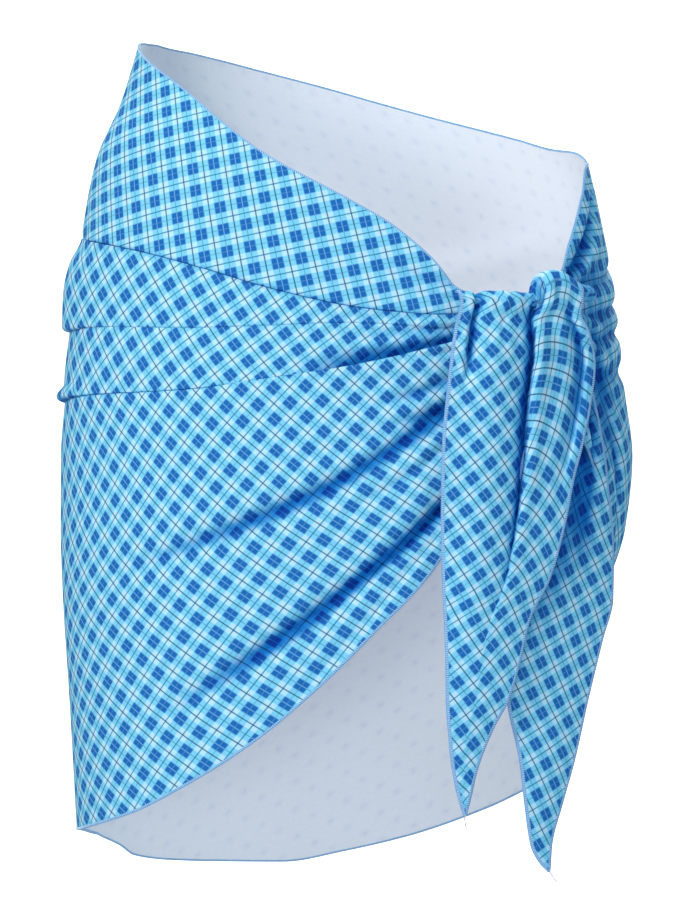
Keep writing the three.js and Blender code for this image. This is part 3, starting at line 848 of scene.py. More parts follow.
def make_front():
    columns = front_columns()
    for name, stretch in (
        ("front_upper", upper_stretch), ("front_band_upper", upper_band), ("front_band_lower", lower_band),
        ("front_lower", lower_stretch),
    ):
        grid, turn, height, hollow = stretch(columns)
        lean = SIDE_LEAN * (1 - ease(turn, 5, 70))
        if name == "front_upper":
            place = upper_print(turn, height)
        elif name == "front_lower":
            shift = lean * ease(height, -330, -190) * (height - SIDE_LEAN_LEVEL)
            below_fold = np.maximum(LONG_FOLD(turn)["height"] - height, 0)
            leaning = LEANING_HEIGHT * (1 - np.exp(-below_fold / LEANING_HEIGHT))
            shift = shift - BELOW_FOLD_LEAN * ease(turn, 50, 100) * leaning
            place = print_place(turn, height, LOWER_RISE, PRINT_MIDDLE_TURN, shift)
        else:
            hidden = HIDDEN_IN_TUCK * (1 - ease(turn, -10, 66)) if name == "front_band_lower" else 0
            shift = BAND_LEAN_SHARE * lean * (height - hidden - SIDE_LEAN_LEVEL)
            place = print_place(turn, height - hidden, BAND_RISE, PRINT_MIDDLE_TURN, shift, BAND_STEADY_RISE)
        make_cloth(name, grid, place, "gathered", ["knot_band"], hollow=hollow)
        if name == "front_upper":
            keep_edge("front_edging", grid, "top", FINE_EDGE)
        if name == "front_lower":
            keep_edge("front_edging", grid, "foot", HEM_EDGE)


HIP_RISE = Table("height rise", [
    [60, 3],
    [-60, 5],
    [-120, 9],
    [-200, 24],
    [-300, 30],
    [-490, 32],
])


BACK_COLUMNS, HIP_COLUMNS, ROWS = 170, 96, 200


def make_back():
    turn = np.linspace(LEFT_HIP_TURN + SEAM_TURN, 360 + SIDE_TURN - SEAM_TURN, BACK_COLUMNS)[None, :]
    edges = BACK_EDGES(turn)
    height = mix(edges["waist"], edges["hem"], np.linspace(0, 1, ROWS)[:, None])
    grid, turn, height, hollow = on_hips(turn, (height, NEXT_TO_HIPS, 0))
    place = print_place(turn, height, HIP_RISE, LEFT_HIP_TURN, steady_rise=BACK_STEADY_RISE)
    make_cloth("back_wrap", grid, place, "gathered", ["front_upper", "hip_gather"], hollow=0.6 * hollow)
    keep_edge("back_edging", grid, "top", FINE_EDGE)
    keep_edge("back_edging", grid, "foot", FINE_EDGE)


def make_hip_gather():
    u = np.linspace(0, 1, HIP_COLUMNS)[None, :]
    v = np.linspace(0, 1, ROWS)[:, None]
    edge = HIP_UPPER_EDGE(u)
    below = HIP_FRONT_EDGE(v)["turn"]
    turn = mix(edge["turn"], mix(below, LEFT_HIP_TURN, u), ease(v, 0, 0.4)) - SEAM_TURN
    height = mix(edge["height"], BACK_EDGES(LEFT_HIP_TURN)["hem"], v)
    grid, turn, height, hollow = on_hips(turn, (height, NEXT_TO_HIPS, 0))
    place = print_place(turn, height, HIP_RISE, LEFT_HIP_TURN)
    make_cloth("hip_gather", grid, place, "gathered", ["knot_band"], hollow=hollow)
    keep_edge("hip_edging", grid, "top", FINE_EDGE)
    keep_edge("hip_edging", grid, "left", FINE_EDGE)


def knot_centre(t):
    return hip_point(mix(KNOT_START, KNOT_END, t), KNOT_HEIGHT, KNOT_OUT)


def drawn_in(t):
    return np.sqrt(np.maximum(1 - (2 * t - 1) ** 8, 0.02))


def roll_grid(centre, radius, steps_round, steps_along):
    """A tube of cloth: rows run round it and columns along it."""
    t = np.linspace(0, 1, steps_along)
    middle = centre(t)
    heading = unit(np.gradient(middle, axis=0))
    up = unit(np.cross(heading, middle * np.array([1, 1, 0])))
    side = np.cross(up, heading)
    angle = np.linspace(0, 2 * np.pi, steps_round, endpoint=False)[:, None]
    reach = radius(t[None, :], angle)[..., None]
    return middle[None] + reach * (np.cos(angle)[..., None] * side[None] + np.sin(angle)[..., None] * up[None])


# The top of the front end, from its left edge to its right: over the band first, and from SPLIT on over the loop.
TOP_START, TOP_END, SPLIT = 112.3, 140.8, 0.628
LOOP_START, LOOP_END, LOOP_RADIUS = 129.6, 148, 4.6
LOOP_LIFT, LOOP_ARCH, LOOP_OUT = 5.6, 7.2, 0.8
KNOT_ROUND, KNOT_ALONG, KNOT_HOLLOW = 48, 90, 0.45
BAND_TOP_RADIUS, LOOP_TOP_RADIUS = 5.45, 6.3


def loop_share(u):
    """0 where the front end lies over the band and 1 where it lies over the loop."""
    return ease(u, SPLIT - 0.012, SPLIT + 0.02)


def top_centre(u, turn=None):
    """The middle line of the roll that the front end hangs over."""
    along = np.clip((u - SPLIT) / (1 - SPLIT), 0, 1)
    rise = mix(0, LOOP_LIFT + LOOP_ARCH * np.sin(np.pi * along**0.8), loop_share(u))
    turn = mix(TOP_START, TOP_END, u) if turn is None else turn
    return hip_point(turn, KNOT_HEIGHT + rise, KNOT_OUT + LOOP_OUT * loop_share(u))


def make_knot():
    def band_radius(t, angle):
        pucker = KNOT_PUCKER * np.sin(2 * np.pi * KNOT_PUCKERS * t + angle)
        return (BAND_RADIUS + pucker) * drawn_in(t)

    def loop_centre(t):
        turn = mix(LOOP_START, LOOP_END, t)
        return top_centre(np.clip((turn - TOP_START) / (TOP_END - TOP_START), 0, 1), turn)

    def loop_radius(t, angle):
        creases = 0.3 * np.cos(5 * angle + 1.5 * t) + 0.2 * np.cos(8 * angle)
        ends = np.sqrt(np.clip(1 - np.maximum(2 * t - 1, 0) ** 6, 0.02, 1))
        return (LOOP_RADIUS + creases) * ends

    for name, centre, radius, rise, held_by in (
        ("knot_band", knot_centre, band_radius, 35, "front_upper"),
        ("knot_loop", loop_centre, loop_radius, 10, "hip_gather"),
    ):
        grid = roll_grid(centre, radius, KNOT_ROUND, KNOT_ALONG)
        place = lay_flat(grid, KNOT_ALONG // 2, rise, (3.0, 5.0))
        hollow = np.full(grid.shape[:2], KNOT_HOLLOW)
        make_cloth(
            name, grid, place, "gathered", [held_by], around=True, hollow=hollow, lined_rows=KNOT_ROUND + 1)


def hip_front(x, height):
    form = HIP_FORM(height)
    aside = np.abs((2 * x - form["left"] - form["right"]) / (form["right"] - form["left"]))
    return form["front"] * np.maximum(1 - aside**FULLNESS, 0) ** (1 / FULLNESS)


def further(a, b, rounding):
    return (a + b + np.hypot(a - b, rounding)) / 2


def pleat_depth(pleats, u, v):
    depth = 0
    for pleat in pleats:
        place = mix(pleat["top_across"], pleat["foot_across"], v)
        begins = ease(v, pleat["start"] - PLEAT_BEFORE, pleat["start"] + PLEAT_AFTER)
        ends = 1 - ease(v, pleat["fade"] * PLEAT_HOLDS, pleat["fade"])
        depth = depth + pleat["depth"] * begins * ends * trough((u - place) / pleat["width"])
    return depth


def tie_point(edges, depth, u, height):
    row = edges(height)
    x = mix(row["left"], row["right"], u)
    hanging = row["bow"] * 4 * u * (1 - u) - mix(row["left_y"], row["right_y"], u)
    y = depth - further(hanging, hip_front(x, height) + row["clear"], TIE_ROUNDING)
    x, y, height = np.broadcast_arrays(x, y, height)
    return np.stack([x, y, height], axis=-1)


TIE_COLUMNS_ACROSS, TIE_ROWS = 151, 240
OVER_KNOT = 0.2  # share of the front end's rows that lie over the knot
LEAVES_KNOT, HANGS_FREE = KNOT_HEIGHT - 4, KNOT_HEIGHT - 30
TIE_RISE, TIE_RISE_AT_LOOP, TIE_ANCHOR = 43, 88, 0.68
VALLEY_DEPTH = 9.5
VALLEY = Table("down across", [
    [0, 0.585],
    [0.08, 0.57],
    [0.18, 0.55],
    [0.38, 0.6],
    [0.56, 0.58],
    [0.7, 0.47],
    [1, 0.42],
])
# Pleats of the front end: a steep right side or a steep left one, by their widths.
TOP_PLEATS = rows_of("top_across foot_across depth left_width right_width start fade", [
    [0.12, 0.1, 7.5, 0.018, 0.05, -0.1, 0.19],
    [0.26, 0.24, 0.9, 0.03, 0.03, -0.1, 0.13],
    [0.36, 0.34, 1.2, 0.025, 0.035, -0.1, 0.12],
    [0.46, 0.43, 1.0, 0.03, 0.025, -0.1, 0.14],
    [0.9, 0.92, 5.5, 0.06, 0.03, 0.0, 0.45],
    [0.74, 0.72, 0.9, 0.05, 0.04, -0.1, 0.3],
])


def tie_relief(u, below, valley):
    """How far the pleats sink the front end, in its upper part most."""
    depth = 0
    for pleat in TOP_PLEATS:
        place = mix(pleat["top_across"], pleat["foot_across"], below)
        width = np.where(u < place, pleat["left_width"], pleat["right_width"])
        begins = ease(below, pleat["start"], pleat["start"] + 0.08)
        ends = 1 - ease(below, pleat["fade"] * 0.4, pleat["fade"])
        depth = depth + pleat["depth"] * begins * ends * trough((u - place) / width)
    beside = u - valley
    gentle = 0.6 * trough(beside / 0.035) + 0.4 * trough(beside / 0.12)
    slope = np.where(beside < 0, gentle, trough(beside / 0.018))
    depth = depth + VALLEY_DEPTH * (1 - ease(below, 0.25, 0.72)) * slope
    ridge = trough((beside - 0.07) / 0.05) * (1 - ease(below, 0.25, 0.6))
    roll = trough((u - 0.3) / 0.14) * (1 - ease(below, 0.3, 0.8))
    return depth - 2.2 * ridge - 1.6 * roll


def make_front_tie():
    v = np.linspace(0, 1, TIE_ROWS)[:, None]
    below = np.maximum(v - OVER_KNOT, 0) / (1 - OVER_KNOT)
    valley = VALLEY(below)["across"]
    valley_column = int(round(SPLIT * (TIE_COLUMNS_ACROSS - 1)))
    across = np.linspace(0, 1, TIE_COLUMNS_ACROSS)[None, :]
    split = across[0, valley_column]
    u = np.where(across <= split, across * valley / split, 1 - (1 - across) * (1 - valley) / (1 - split))
    relief = tie_relief(u, below, valley)

    over_loop = loop_share(np.broadcast_to(across, u.shape))
    angle = np.radians(mix(105, 175, over_loop) * np.maximum(1 - v / OVER_KNOT, 0))
    radius = mix(BAND_TOP_RADIUS, LOOP_TOP_RADIUS, over_loop) - mix(0.3, 0.8, ease(v, 0.1, OVER_KNOT)) * relief
    centre = top_centre(np.broadcast_to(across, u.shape))
    height = mix(centre[..., 2], TIE_TIP, below)
    over = centre + unit(centre * np.array([1, 1, 0])) * (radius * np.cos(angle))[..., None]
    over[..., 2] = height + radius * np.sin(angle)
    hanging = tie_point(FRONT_TIE, 0, u, height)
    over[..., 0] = mix(over[..., 0], hanging[..., 0], 1 - ease(height, KNOT_HEIGHT - 14, KNOT_HEIGHT + 1))
    hanging[..., 1] += relief
    grid = mix(over, hanging, (1 - ease(height, HANGS_FREE, LEAVES_KNOT))[..., None])

    anchor = int(TIE_ANCHOR * (TIE_ROWS - 1)), valley_column
    half_a = lay_flat(grid, valley_column, TIE_RISE, (4.0, 2.0))
    half_b = lay_flat(grid, valley_column, mix(TIE_RISE_AT_LOOP, TIE_RISE, ease(v[:, 0], 0.2, 0.66)))
    half_b = half_b + half_a[anchor] - half_b[anchor]
    prints = [(0, valley_column, half_a), (valley_column, TIE_COLUMNS_ACROSS, half_b)]
    beside_loop = 0.8 * trough((across - SPLIT + 0.02) / 0.03)
    beside_loop = beside_loop * (1 - ease(v, OVER_KNOT * 0.8, OVER_KNOT * 1.5))
    hollow = np.clip(hollow_of(relief) + beside_loop, 0, 1)
    make_cloth(
        "tie_front", grid, prints, "hung", ["knot_band"], hollow=hollow, lined_rows=int(OVER_KNOT * TIE_ROWS))
    for side in ("left", "right"):
        keep_edge("tie_front_edging", grid, side, TIE_EDGE, True)


REAR_TIE_COLUMNS, REAR_TIE_ROWS, REAR_TIE_SPINE, REAR_TIE_RISE = 90, 220, 30, 28
SHADED_BY_FRONT_END = 0.8


def make_rear_tie():
    u = np.linspace(0, 1, REAR_TIE_COLUMNS)[None, :]
    v = np.linspace(0, 1, REAR_TIE_ROWS)[:, None]
    height = mix(REAR_TIE_TOP, REAR_TIE_TIP, v)
    depth = pleat_depth(REAR_TIE_PLEATS, u, v)
    grid = tie_point(REAR_TIE, depth, u, height)
    place = lay_flat(grid, REAR_TIE_SPINE, REAR_TIE_RISE, (1.0, 8.0))
    past_front_end = grid[..., 0] - FRONT_TIE(height)["right"]
    recess = SHADED_BY_FRONT_END * (1 - ease(past_front_end, 1, 17))
    recess = recess * ease(height, -345, -270) * (1 - ease(height, -195, -165))
    hollow = np.clip(hollow_of(depth) + recess, 0, 1)
    make_cloth("tie_rear", grid, place, "hung", ["hip_gather"], hollow=hollow)
    for side in ("left", "right"):
        keep_edge("tie_rear_edging", grid, side, TIE_EDGE, True)


# ---- the edging ----
def tube_faces(count, sides):
    """The faces of a tube of so many rings, with both ends closed."""
    faces = []
    for i in range(count - 1):
        for k in range(sides):
            n = (k + 1) % sides
            faces.append((i * sides + k, i * sides + n, (i + 1) * sides + n, (i + 1) * sides + k))
    return faces + [tuple(range(sides))[::-1], tuple((count - 1) * sides + k for k in range(sides))]


# The strip round an edge, as shares of its width inwards and of its lift outwards.
BEAD_SECTION = np.array([
    [1, 0.75], [0.85, 1], [0.04, 1.1], [-0.1, 0.5], [-0.1, -0.5], [0.04, -1.1], [0.85, -1], [1, -0.75],
])


def bead(points, out, inward, widths, lift):
    """A closed flat strip round a cloth edge."""
    reach = widths[:, None, None] * BEAD_SECTION[None, :, :1]
    rings = points[:, None] + inward[:, None] * reach + out[:, None] * lift * BEAD_SECTION[None, :, 1:]
    return rings.reshape(-1, 3) * MM, tube_faces(*rings.shape[:2])


def closed_mesh(name, vertices, faces):
    mesh = bpy.data.meshes.new(name)
    mesh.from_pydata([tuple(v) for v in vertices], [], faces)
    mesh.update()
    if sum(polygon.area * polygon.normal.dot(polygon.center) for polygon in mesh.polygons) < 0:
        mesh.flip_normals()
    return mesh


STITCH_STEPS, THREAD_SIDES = 6, 4
# A stitch reaches past the edge by a share of the edge's width; the others are shares of the stitch's height.
PAST_EDGE, STITCH_ENDS, STITCH_BULGE = -0.28, 0.8, 1.5


def stitch_tree(material):
    """Threads that wrap a cloth edge at a steady pitch, each leaning the same way."""
    sizes = {"Pitch": 0.0013, "Thread radius": 0.0002, "Width": 1.0, "Height": 0.0007, "Lean": 0.0005}
    tree = new_group(
        "Overlock stitches", "GeometryNodeTree",
        [("Geometry", "Geometry")] + [(name, "Float", value) for name, value in sizes.items()],
        [("Geometry", "Geometry")])
    node, maths, _ = node_tools(tree)
    inputs = node("NodeGroupInput").outputs
    height, lean = inputs["Height"], inputs["Lean"]

    def vector(*values):
        return node("ShaderNodeCombineXYZ", dict(enumerate(values))).outputs[0]

    def attribute(name, data_type):
        return node("GeometryNodeInputNamedAttribute", {"Name": name}, data_type=data_type).outputs["Attribute"]

    edge = node("GeometryNodeMeshToCurve", {"Mesh": inputs["Geometry"]})
    places = node(
        "GeometryNodeResampleCurve", {"Curve": edge.outputs["Curve"], "Length": inputs["Pitch"]}, mode="LENGTH")
    below = maths("MULTIPLY", height, -1.0)
    path = node("GeometryNodeCurvePrimitiveBezierSegment", {
        "Resolution": STITCH_STEPS,
        "Start": vector(maths("MULTIPLY", lean, -1.0), 1.0, maths("MULTIPLY", height, STITCH_ENDS)),
        "Start Handle": vector(0.0, PAST_EDGE, maths("MULTIPLY", height, STITCH_BULGE)),
        "End Handle": vector(0.0, PAST_EDGE, maths("MULTIPLY", below, STITCH_BULGE)),
        "End": vector(lean, 1.0, maths("MULTIPLY", below, STITCH_ENDS)),
    }, mode="POSITION")
    circle = node(
        "GeometryNodeCurvePrimitiveCircle", {"Resolution": THREAD_SIDES, "Radius": inputs["Thread radius"]})
    thread = node("GeometryNodeCurveToMesh", {
        "Curve": path.outputs["Curve"], "Profile Curve": circle.outputs["Curve"], "Fill Caps": True,
    })
    turn = node("FunctionNodeAxesToRotation", {
        0: attribute("outward", "FLOAT_VECTOR"), 1: attribute("inward", "FLOAT_VECTOR"),
    }, primary_axis="Z", secondary_axis="Y")
    stretch = vector(1.0, maths("MULTIPLY", attribute("width", "FLOAT"), inputs["Width"]), 1.0)
    place = node("GeometryNodeInstanceOnPoints", {
        "Points": places.outputs["Curve"], "Instance": thread.outputs["Mesh"], "Scale": stretch,
        "Rotation": turn.outputs["Rotation"],
    })
    realize = node("GeometryNodeRealizeInstances", {"Geometry": place.outputs["Instances"]})
    finish = node("GeometryNodeSetMaterial", {"Geometry": realize.outputs["Geometry"], "Material": material})
    node("NodeGroupOutput", {"Geometry": finish.outputs["Geometry"]})
    return tree


def stitched(name, edges, tree, sizes):
    """The stitches along several edges, as one plain mesh."""
    points, outs, inwards, reach, links = [], [], [], [], []
    for line, out, inward, widths in edges:
        first = len(points)
        points.extend(line * MM)
        outs.extend(out)
        inwards.extend(inward)
        reach.extend(widths * MM)
        links.extend((first + i, first + i + 1) for i in range(len(line) - 1))
    mesh = bpy.data.meshes.new(name)
    mesh.from_pydata([tuple(p) for p in points], links, [])
    for label, values in (("outward", outs), ("inward", inwards)):
        attribute = mesh.attributes.new(label, "FLOAT_VECTOR", "POINT")
        attribute.data.foreach_set("vector", np.array(values, dtype=np.float32).ravel())
    wide = mesh.attributes.new("width", "FLOAT", "POINT")
    wide.data.foreach_set("value", np.array(reach, dtype=np.float32))
    thing = add_object(name, mesh)
    modifier = thing.modifiers.new("Stitches", "NODES")
    modifier.node_group = tree
    for item in tree.interface.items_tree:
        if item.in_out == "INPUT" and item.name in sizes:
            modifier[item.identifier] = sizes[item.name]
    evaluated = thing.evaluated_get(bpy.context.evaluated_depsgraph_get())
    made = bpy.data.meshes.new_from_object(evaluated)
    thing.modifiers.clear()
    bpy.data.objects.remove(thing)
    bpy.data.meshes.remove(mesh)
    if len(made.polygons) == 0:
        raise RuntimeError(name + ": no stitches were made")
    return made


THREAD_END_STEPS, THREAD_END_SIDES = 24, 8
THREAD_END_RADIUS, THREAD_END_TAPER, TWIST_DEPTH, TWIST = 0.42, 0.12, 0.07, 16
# How far the loose thread end at each tip reaches across and up.
THREAD_ENDS = {"tie_front_edging": (1.0, -8.4), "tie_rear_edging": (5.0, -6.4)}


def thread_end(name, edges, reach):
    """The twisted end of the edge threads, left hanging from a tip."""
    tip = (edges[0][0][-1] + edges[1][0][-1]) / 2
    t = np.linspace(0, 1, THREAD_END_STEPS)[:, None]
    path = tip + np.array([0, 0, 1.5]) * (1 - t) + np.array([reach[0], 0, reach[1]]) * t
    path = path + np.sin(np.pi * t) * np.array([-0.5, -0.3, 0])
    angle = np.linspace(0, 2 * np.pi, THREAD_END_SIDES, endpoint=False)[None, :]
    radius = THREAD_END_RADIUS - THREAD_END_TAPER * t + TWIST_DEPTH * np.cos(2 * angle + TWIST * t)
    rings = path[:, None] + np.stack([radius * np.cos(angle), radius * np.sin(angle), 0 * radius], axis=-1)
    return closed_mesh(name, rings.reshape(-1, 3) * MM, tube_faces(*rings.shape[:2]))


EDGE_CLEAR = 0.08  # between the cloth and the strip round its edge
EDGED = {
    "front_edging": ["front_upper_cloth", "front_lower_cloth"],
    "back_edging": ["back_wrap_cloth"],
    "hip_edging": ["hip_gather_cloth"],
    "tie_front_edging": ["tie_front_cloth"],
    "tie_rear_edging": ["tie_rear_cloth"],
}


def make_edging():
    sizes = bpy.context.scene.sarong_edging
    tree = stitch_tree(edge_finish("Edge thread", linear("#a8d6f4"), linear("#e2effb")))
    loose_thread = edge_finish("Loose thread", linear("#bfb3c6"), linear("#e6dde8"))
    under_thread = edge_finish("Edge under the thread", opaque(sizes.colour), linear("#8fc4ec"))
    lift = bpy.context.scene.sarong_cloth.thickness * 500 + EDGE_CLEAR
    stitch_sizes = {"Pitch": sizes.pitch, "Thread radius": sizes.thread_radius, "Width": sizes.width}
    for name, edges in EDGES.items():
        vertices, faces = [], []
        for line, out, inward, widths in edges:
            more, sides = bead(line, out, inward, widths * sizes.width, lift)
            first = len(vertices)
            vertices.extend(more)
            faces.extend(tuple(first + k for k in face) for face in sides)
        strip = closed_mesh(name, vertices, faces)
        strip.materials.append(under_thread)
        made = [add_object(name, strip)]
        made.append(add_object(name + "_threads", stitched(name + "_threads", edges, tree, stitch_sizes)))
        if name in THREAD_ENDS:
            loose = thread_end(name.replace("edging", "thread_end"), edges, THREAD_ENDS[name])
            loose.materials.append(loose_thread)
            made.append(add_object(loose.name, loose))
        for piece in made:
            smooth(piece.data)
            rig.ride(piece, "root")
            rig.slot(piece, "plaid_cloth")
            PIECES[EDGED[name][0]]["trims"].append(piece)


def declare_sheets():
    """Says of every piece of cloth how large it was cut and how it is held."""
    for name, facts in PIECES.items():
        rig.sheet(
            bpy.data.objects[name],
            flat=facts["flat"],
            held=facts["held"],
            rests_on=facts["rests_on"],
            area=facts["area"],
            with_pieces=facts["trims"],
        )


# ---- finishes ----
def feed(tree, node, inputs):
    """Links each named input to another node's output, or sets it to a plain value."""
    for key, value in inputs.items():
        if isinstance(value, bpy.types.NodeSocket):
            tree.links.new(value, node.inputs[key])
        else:
            node.inputs[key].default_value = value


def node_tools(tree):
    """Short ways to add nodes to a tree."""
    def node(kind, inputs=None, **settings):
        made = tree.nodes.new(kind)
        for key, value in settings.items():
            setattr(made, key, value)
        feed(tree, made, inputs or {})
        return made

    def maths(operation, *values, clamp=False):
        made = node("ShaderNodeMath", dict(enumerate(values)), operation=operation, use_clamp=clamp)
        return made.outputs[0]

    def blend(share, a, b, kind="MIX"):
        return node("ShaderNodeMix", {0: share, 6: a, 7: b}, data_type="RGBA", blend_type=kind).outputs[2]

    return node, maths, blend


def new_group(name, kind, inputs, outputs):
    """An empty node group. Its inputs and outputs are each a name, a type and, if it has one, a usual value."""
    tree = bpy.data.node_groups.new(name, kind)
    for in_out, rows in (("INPUT", inputs), ("OUTPUT", outputs)):
        for label, socket_type, *usual in rows:
            socket = tree.interface.new_socket(
                name=label, in_out=in_out, socket_type="NodeSocket" + socket_type)
            if usual:
                socket.default_value = usual[0]
    return tree


LINE_SOFTNESS = 0.6  # of the bands' softness
# How strongly the lines show, for each way they run: the thin line inside one band and where bands cross, and the
# dark lines.
BAND_LINES, CROSSING_LINES, DARK_LINES = (0.75, 0.6), (0.7, 0.25), 0.95


def plaid_group():
    """The plaid: two sets of bands that cross, with a thin line along the middle of each."""
    sizes = {"Period": 0.0136, "Band": 0.5, "Dark line": 0.00068, "Pale line": 0.00042, "Softness": 0.0008}
    colours = "Both bands", "One band", "No band", "Dark line colour", "Band line colour", "Pale line colour"
    tree = new_group(
        "Plaid print", "ShaderNodeTree",
        [("Cloth", "Vector")] + [(name, "Float", value) for name, value in sizes.items()]
        + [(name, "Color") for name in colours],
        [("Colour", "Color"), ("Crossing", "Float")])
    node, maths, blend = node_tools(tree)
    inputs = node("NodeGroupInput").outputs
    split = node("ShaderNodeSeparateXYZ", {0: inputs["Cloth"]})
    bands, darks, pales = [], [], []
    edge = maths("DIVIDE", inputs["Softness"], inputs["Period"])
    line_edge = maths("MULTIPLY", edge, LINE_SOFTNESS)

    def within(half_width, distance, soft):
        """1 nearer than half_width and 0 further, with a soft edge."""
        return maths("ADD", maths("DIVIDE", maths("SUBTRACT", half_width, distance), soft), 0.5, clamp=True)

    for axis in (0, 1):
        place = maths("DIVIDE", split.outputs[axis], inputs["Period"])
        share = maths("FRACT", maths("ADD", place, 1000.0))
        from_band = maths("ABSOLUTE", maths("SUBTRACT", share, 0.5))
        bands.append(within(maths("MULTIPLY", inputs["Band"], 0.5), from_band, edge))
        from_dark = maths("SUBTRACT", 0.5, from_band)
        for found, width, distance in ((darks, "Dark line", from_dark), (pales, "Pale line", from_band)):
            half = maths("DIVIDE", maths("MULTIPLY", inputs[width], 0.5), inputs["Period"])
            found.append(within(half, distance, line_edge))
    crossing = maths("MULTIPLY", *bands)
    colour = blend(maths("MAXIMUM", *bands), inputs["No band"], inputs["One band"])

    def thin_lines(strengths, where):
        lines = [maths("MULTIPLY", line, strength) for line, strength in zip(pales, strengths)]
        return maths("MULTIPLY", maths("MAXIMUM", *lines), where)

    in_band = thin_lines(BAND_LINES, maths("SUBTRACT", 1.0, crossing))
    colour = blend(in_band, colour, inputs["Band line colour"])
    colour = blend(crossing, colour, inputs["Both bands"])
    colour = blend(thin_lines(CROSSING_LINES, crossing), colour, inputs["Pale line colour"])
    colour = blend(maths("MULTIPLY", darks[1], DARK_LINES), colour, inputs["Band line colour"])
    colour = blend(maths("MULTIPLY", darks[0], DARK_LINES), colour, inputs["Dark line colour"])
    node("NodeGroupOutput", {"Colour": colour, "Crossing": crossing})
    return tree


def knit_group():
    """The knit's fine ribs, and the slight unevenness of printed cloth."""
    tree = new_group(
        "Knit", "ShaderNodeTree", [("Cloth", "Vector"), ("Rib", "Float", 0.0005)],
        [("Height", "Float"), ("Unevenness", "Float")])
    node, maths, _ = node_tools(tree)
    inputs = node("NodeGroupInput").outputs
    split = node("ShaderNodeSeparateXYZ", {0: inputs["Cloth"]})
    ribs = []
    for axis, pitch, height in ((0, 1.0, 0.3), (1, 1.4, 0.2)):
        place = maths("DIVIDE", split.outputs[axis], maths("MULTIPLY", inputs["Rib"], pitch))
        ribs.append(maths("MULTIPLY", maths("SINE", maths("MULTIPLY", place, 2 * math.pi)), height))
    noise = node("ShaderNodeTexNoise", {"Vector": inputs["Cloth"], "Scale": 420, "Detail": 3})
    node("NodeGroupOutput", {"Height": maths("ADD", *ribs), "Unevenness": noise.outputs["Fac"]})
    return tree


def fold_shade_group():
    """Darkens and deepens a colour down in the folds."""
    tree = new_group(
        "Fold shade", "ShaderNodeTree", [("Colour", "Color"), ("Hollow", "Float"), ("Shade", "Color")],
        [("Colour", "Color")])
    node, _, blend = node_tools(tree)
    inputs = node("NodeGroupInput").outputs
    colour = inputs["Colour"]
    for _ in range(2):
        colour = blend(inputs["Hollow"], colour, blend(1.0, colour, inputs["Shade"], "MULTIPLY"))
    node("NodeGroupOutput", {"Colour": colour})
    return tree


def shared_group(name, build):
    return bpy.data.node_groups.get(name) or build()


def new_material(name):
    material = bpy.data.materials.new(name)
    material.use_nodes = True
    tree = material.node_tree
    tree.nodes.clear()
    output = tree.nodes.new("ShaderNodeOutputMaterial")
    surface = tree.nodes.new("ShaderNodeBsdfPrincipled")
    tree.links.new(surface.outputs[0], output.inputs[0])
    return material, tree, surface


def cloth_nodes(tree, cloth):
    """The plaid and the knit, read from the piece's own cloth coordinates."""
    node, _, _ = node_tools(tree)
    coordinates = node("ShaderNodeUVMap", uv_map="Cloth").outputs[0]
    plaid = node("ShaderNodeGroup", node_tree=shared_group("Plaid print", plaid_group))
    knit = node("ShaderNodeGroup", node_tree=shared_group("Knit", knit_group))
    feed(tree, knit, {"Cloth": coordinates})
    feed(tree, plaid, {
        "Cloth": coordinates, "Period": cloth.period, "Band": cloth.band,
        "Both bands": opaque(cloth.both_bands), "One band": opaque(cloth.one_band),
        "No band": opaque(cloth.no_band), "Dark line colour": opaque(cloth.dark_line),
        "Band line colour": opaque(cloth.band_line), "Pale line colour": opaque(cloth.pale_line),
    })
    return plaid, knit


BUMP_DISTANCE = 0.0001


def bumped(tree, height, strength):
    node, _, _ = node_tools(tree)
    return node("ShaderNodeBump", {
        "Strength": strength, "Distance": BUMP_DISTANCE, "Height": height,
    }).outputs[0]


def object_noise(tree, scale):
    """Noise that keeps to its place on the object."""
    node, _, _ = node_tools(tree)
    place = node("ShaderNodeTexCoord").outputs["Object"]
    return node("ShaderNodeTexNoise", {"Vector": place, "Scale": scale, "Detail": 2}).outputs["Fac"]


def plaid_cloth(cloth):
    found = bpy.data.materials.get("Plaid swim cloth")
    if found:
        return found
    material, tree, surface = new_material("Plaid swim cloth")
    node, maths, blend = node_tools(tree)
    plaid, knit = cloth_nodes(tree, cloth)
    shade = maths("MULTIPLY_ADD", knit.outputs["Unevenness"], 0.22, 0.89)
    folds = node("ShaderNodeGroup", node_tree=shared_group("Fold shade", fold_shade_group))
    feed(tree, folds, {
        "Colour": blend(1.0, plaid.outputs["Colour"], shade, "MULTIPLY"),
        "Hollow": node("ShaderNodeAttribute", attribute_name="Hollow").outputs["Fac"],
        "Shade": linear("#6cbce4"),
    })
    feed(tree, surface, {
        "Base Color": folds.outputs["Colour"], "Normal": bumped(tree, knit.outputs["Height"], 0.25),
        "Roughness": 0.72, "Specular IOR Level": 0.1,
        "Sheen Weight": 0.03, "Sheen Roughness": 0.45, "Sheen Tint": linear("#bfe2ff"),
    })
    return material


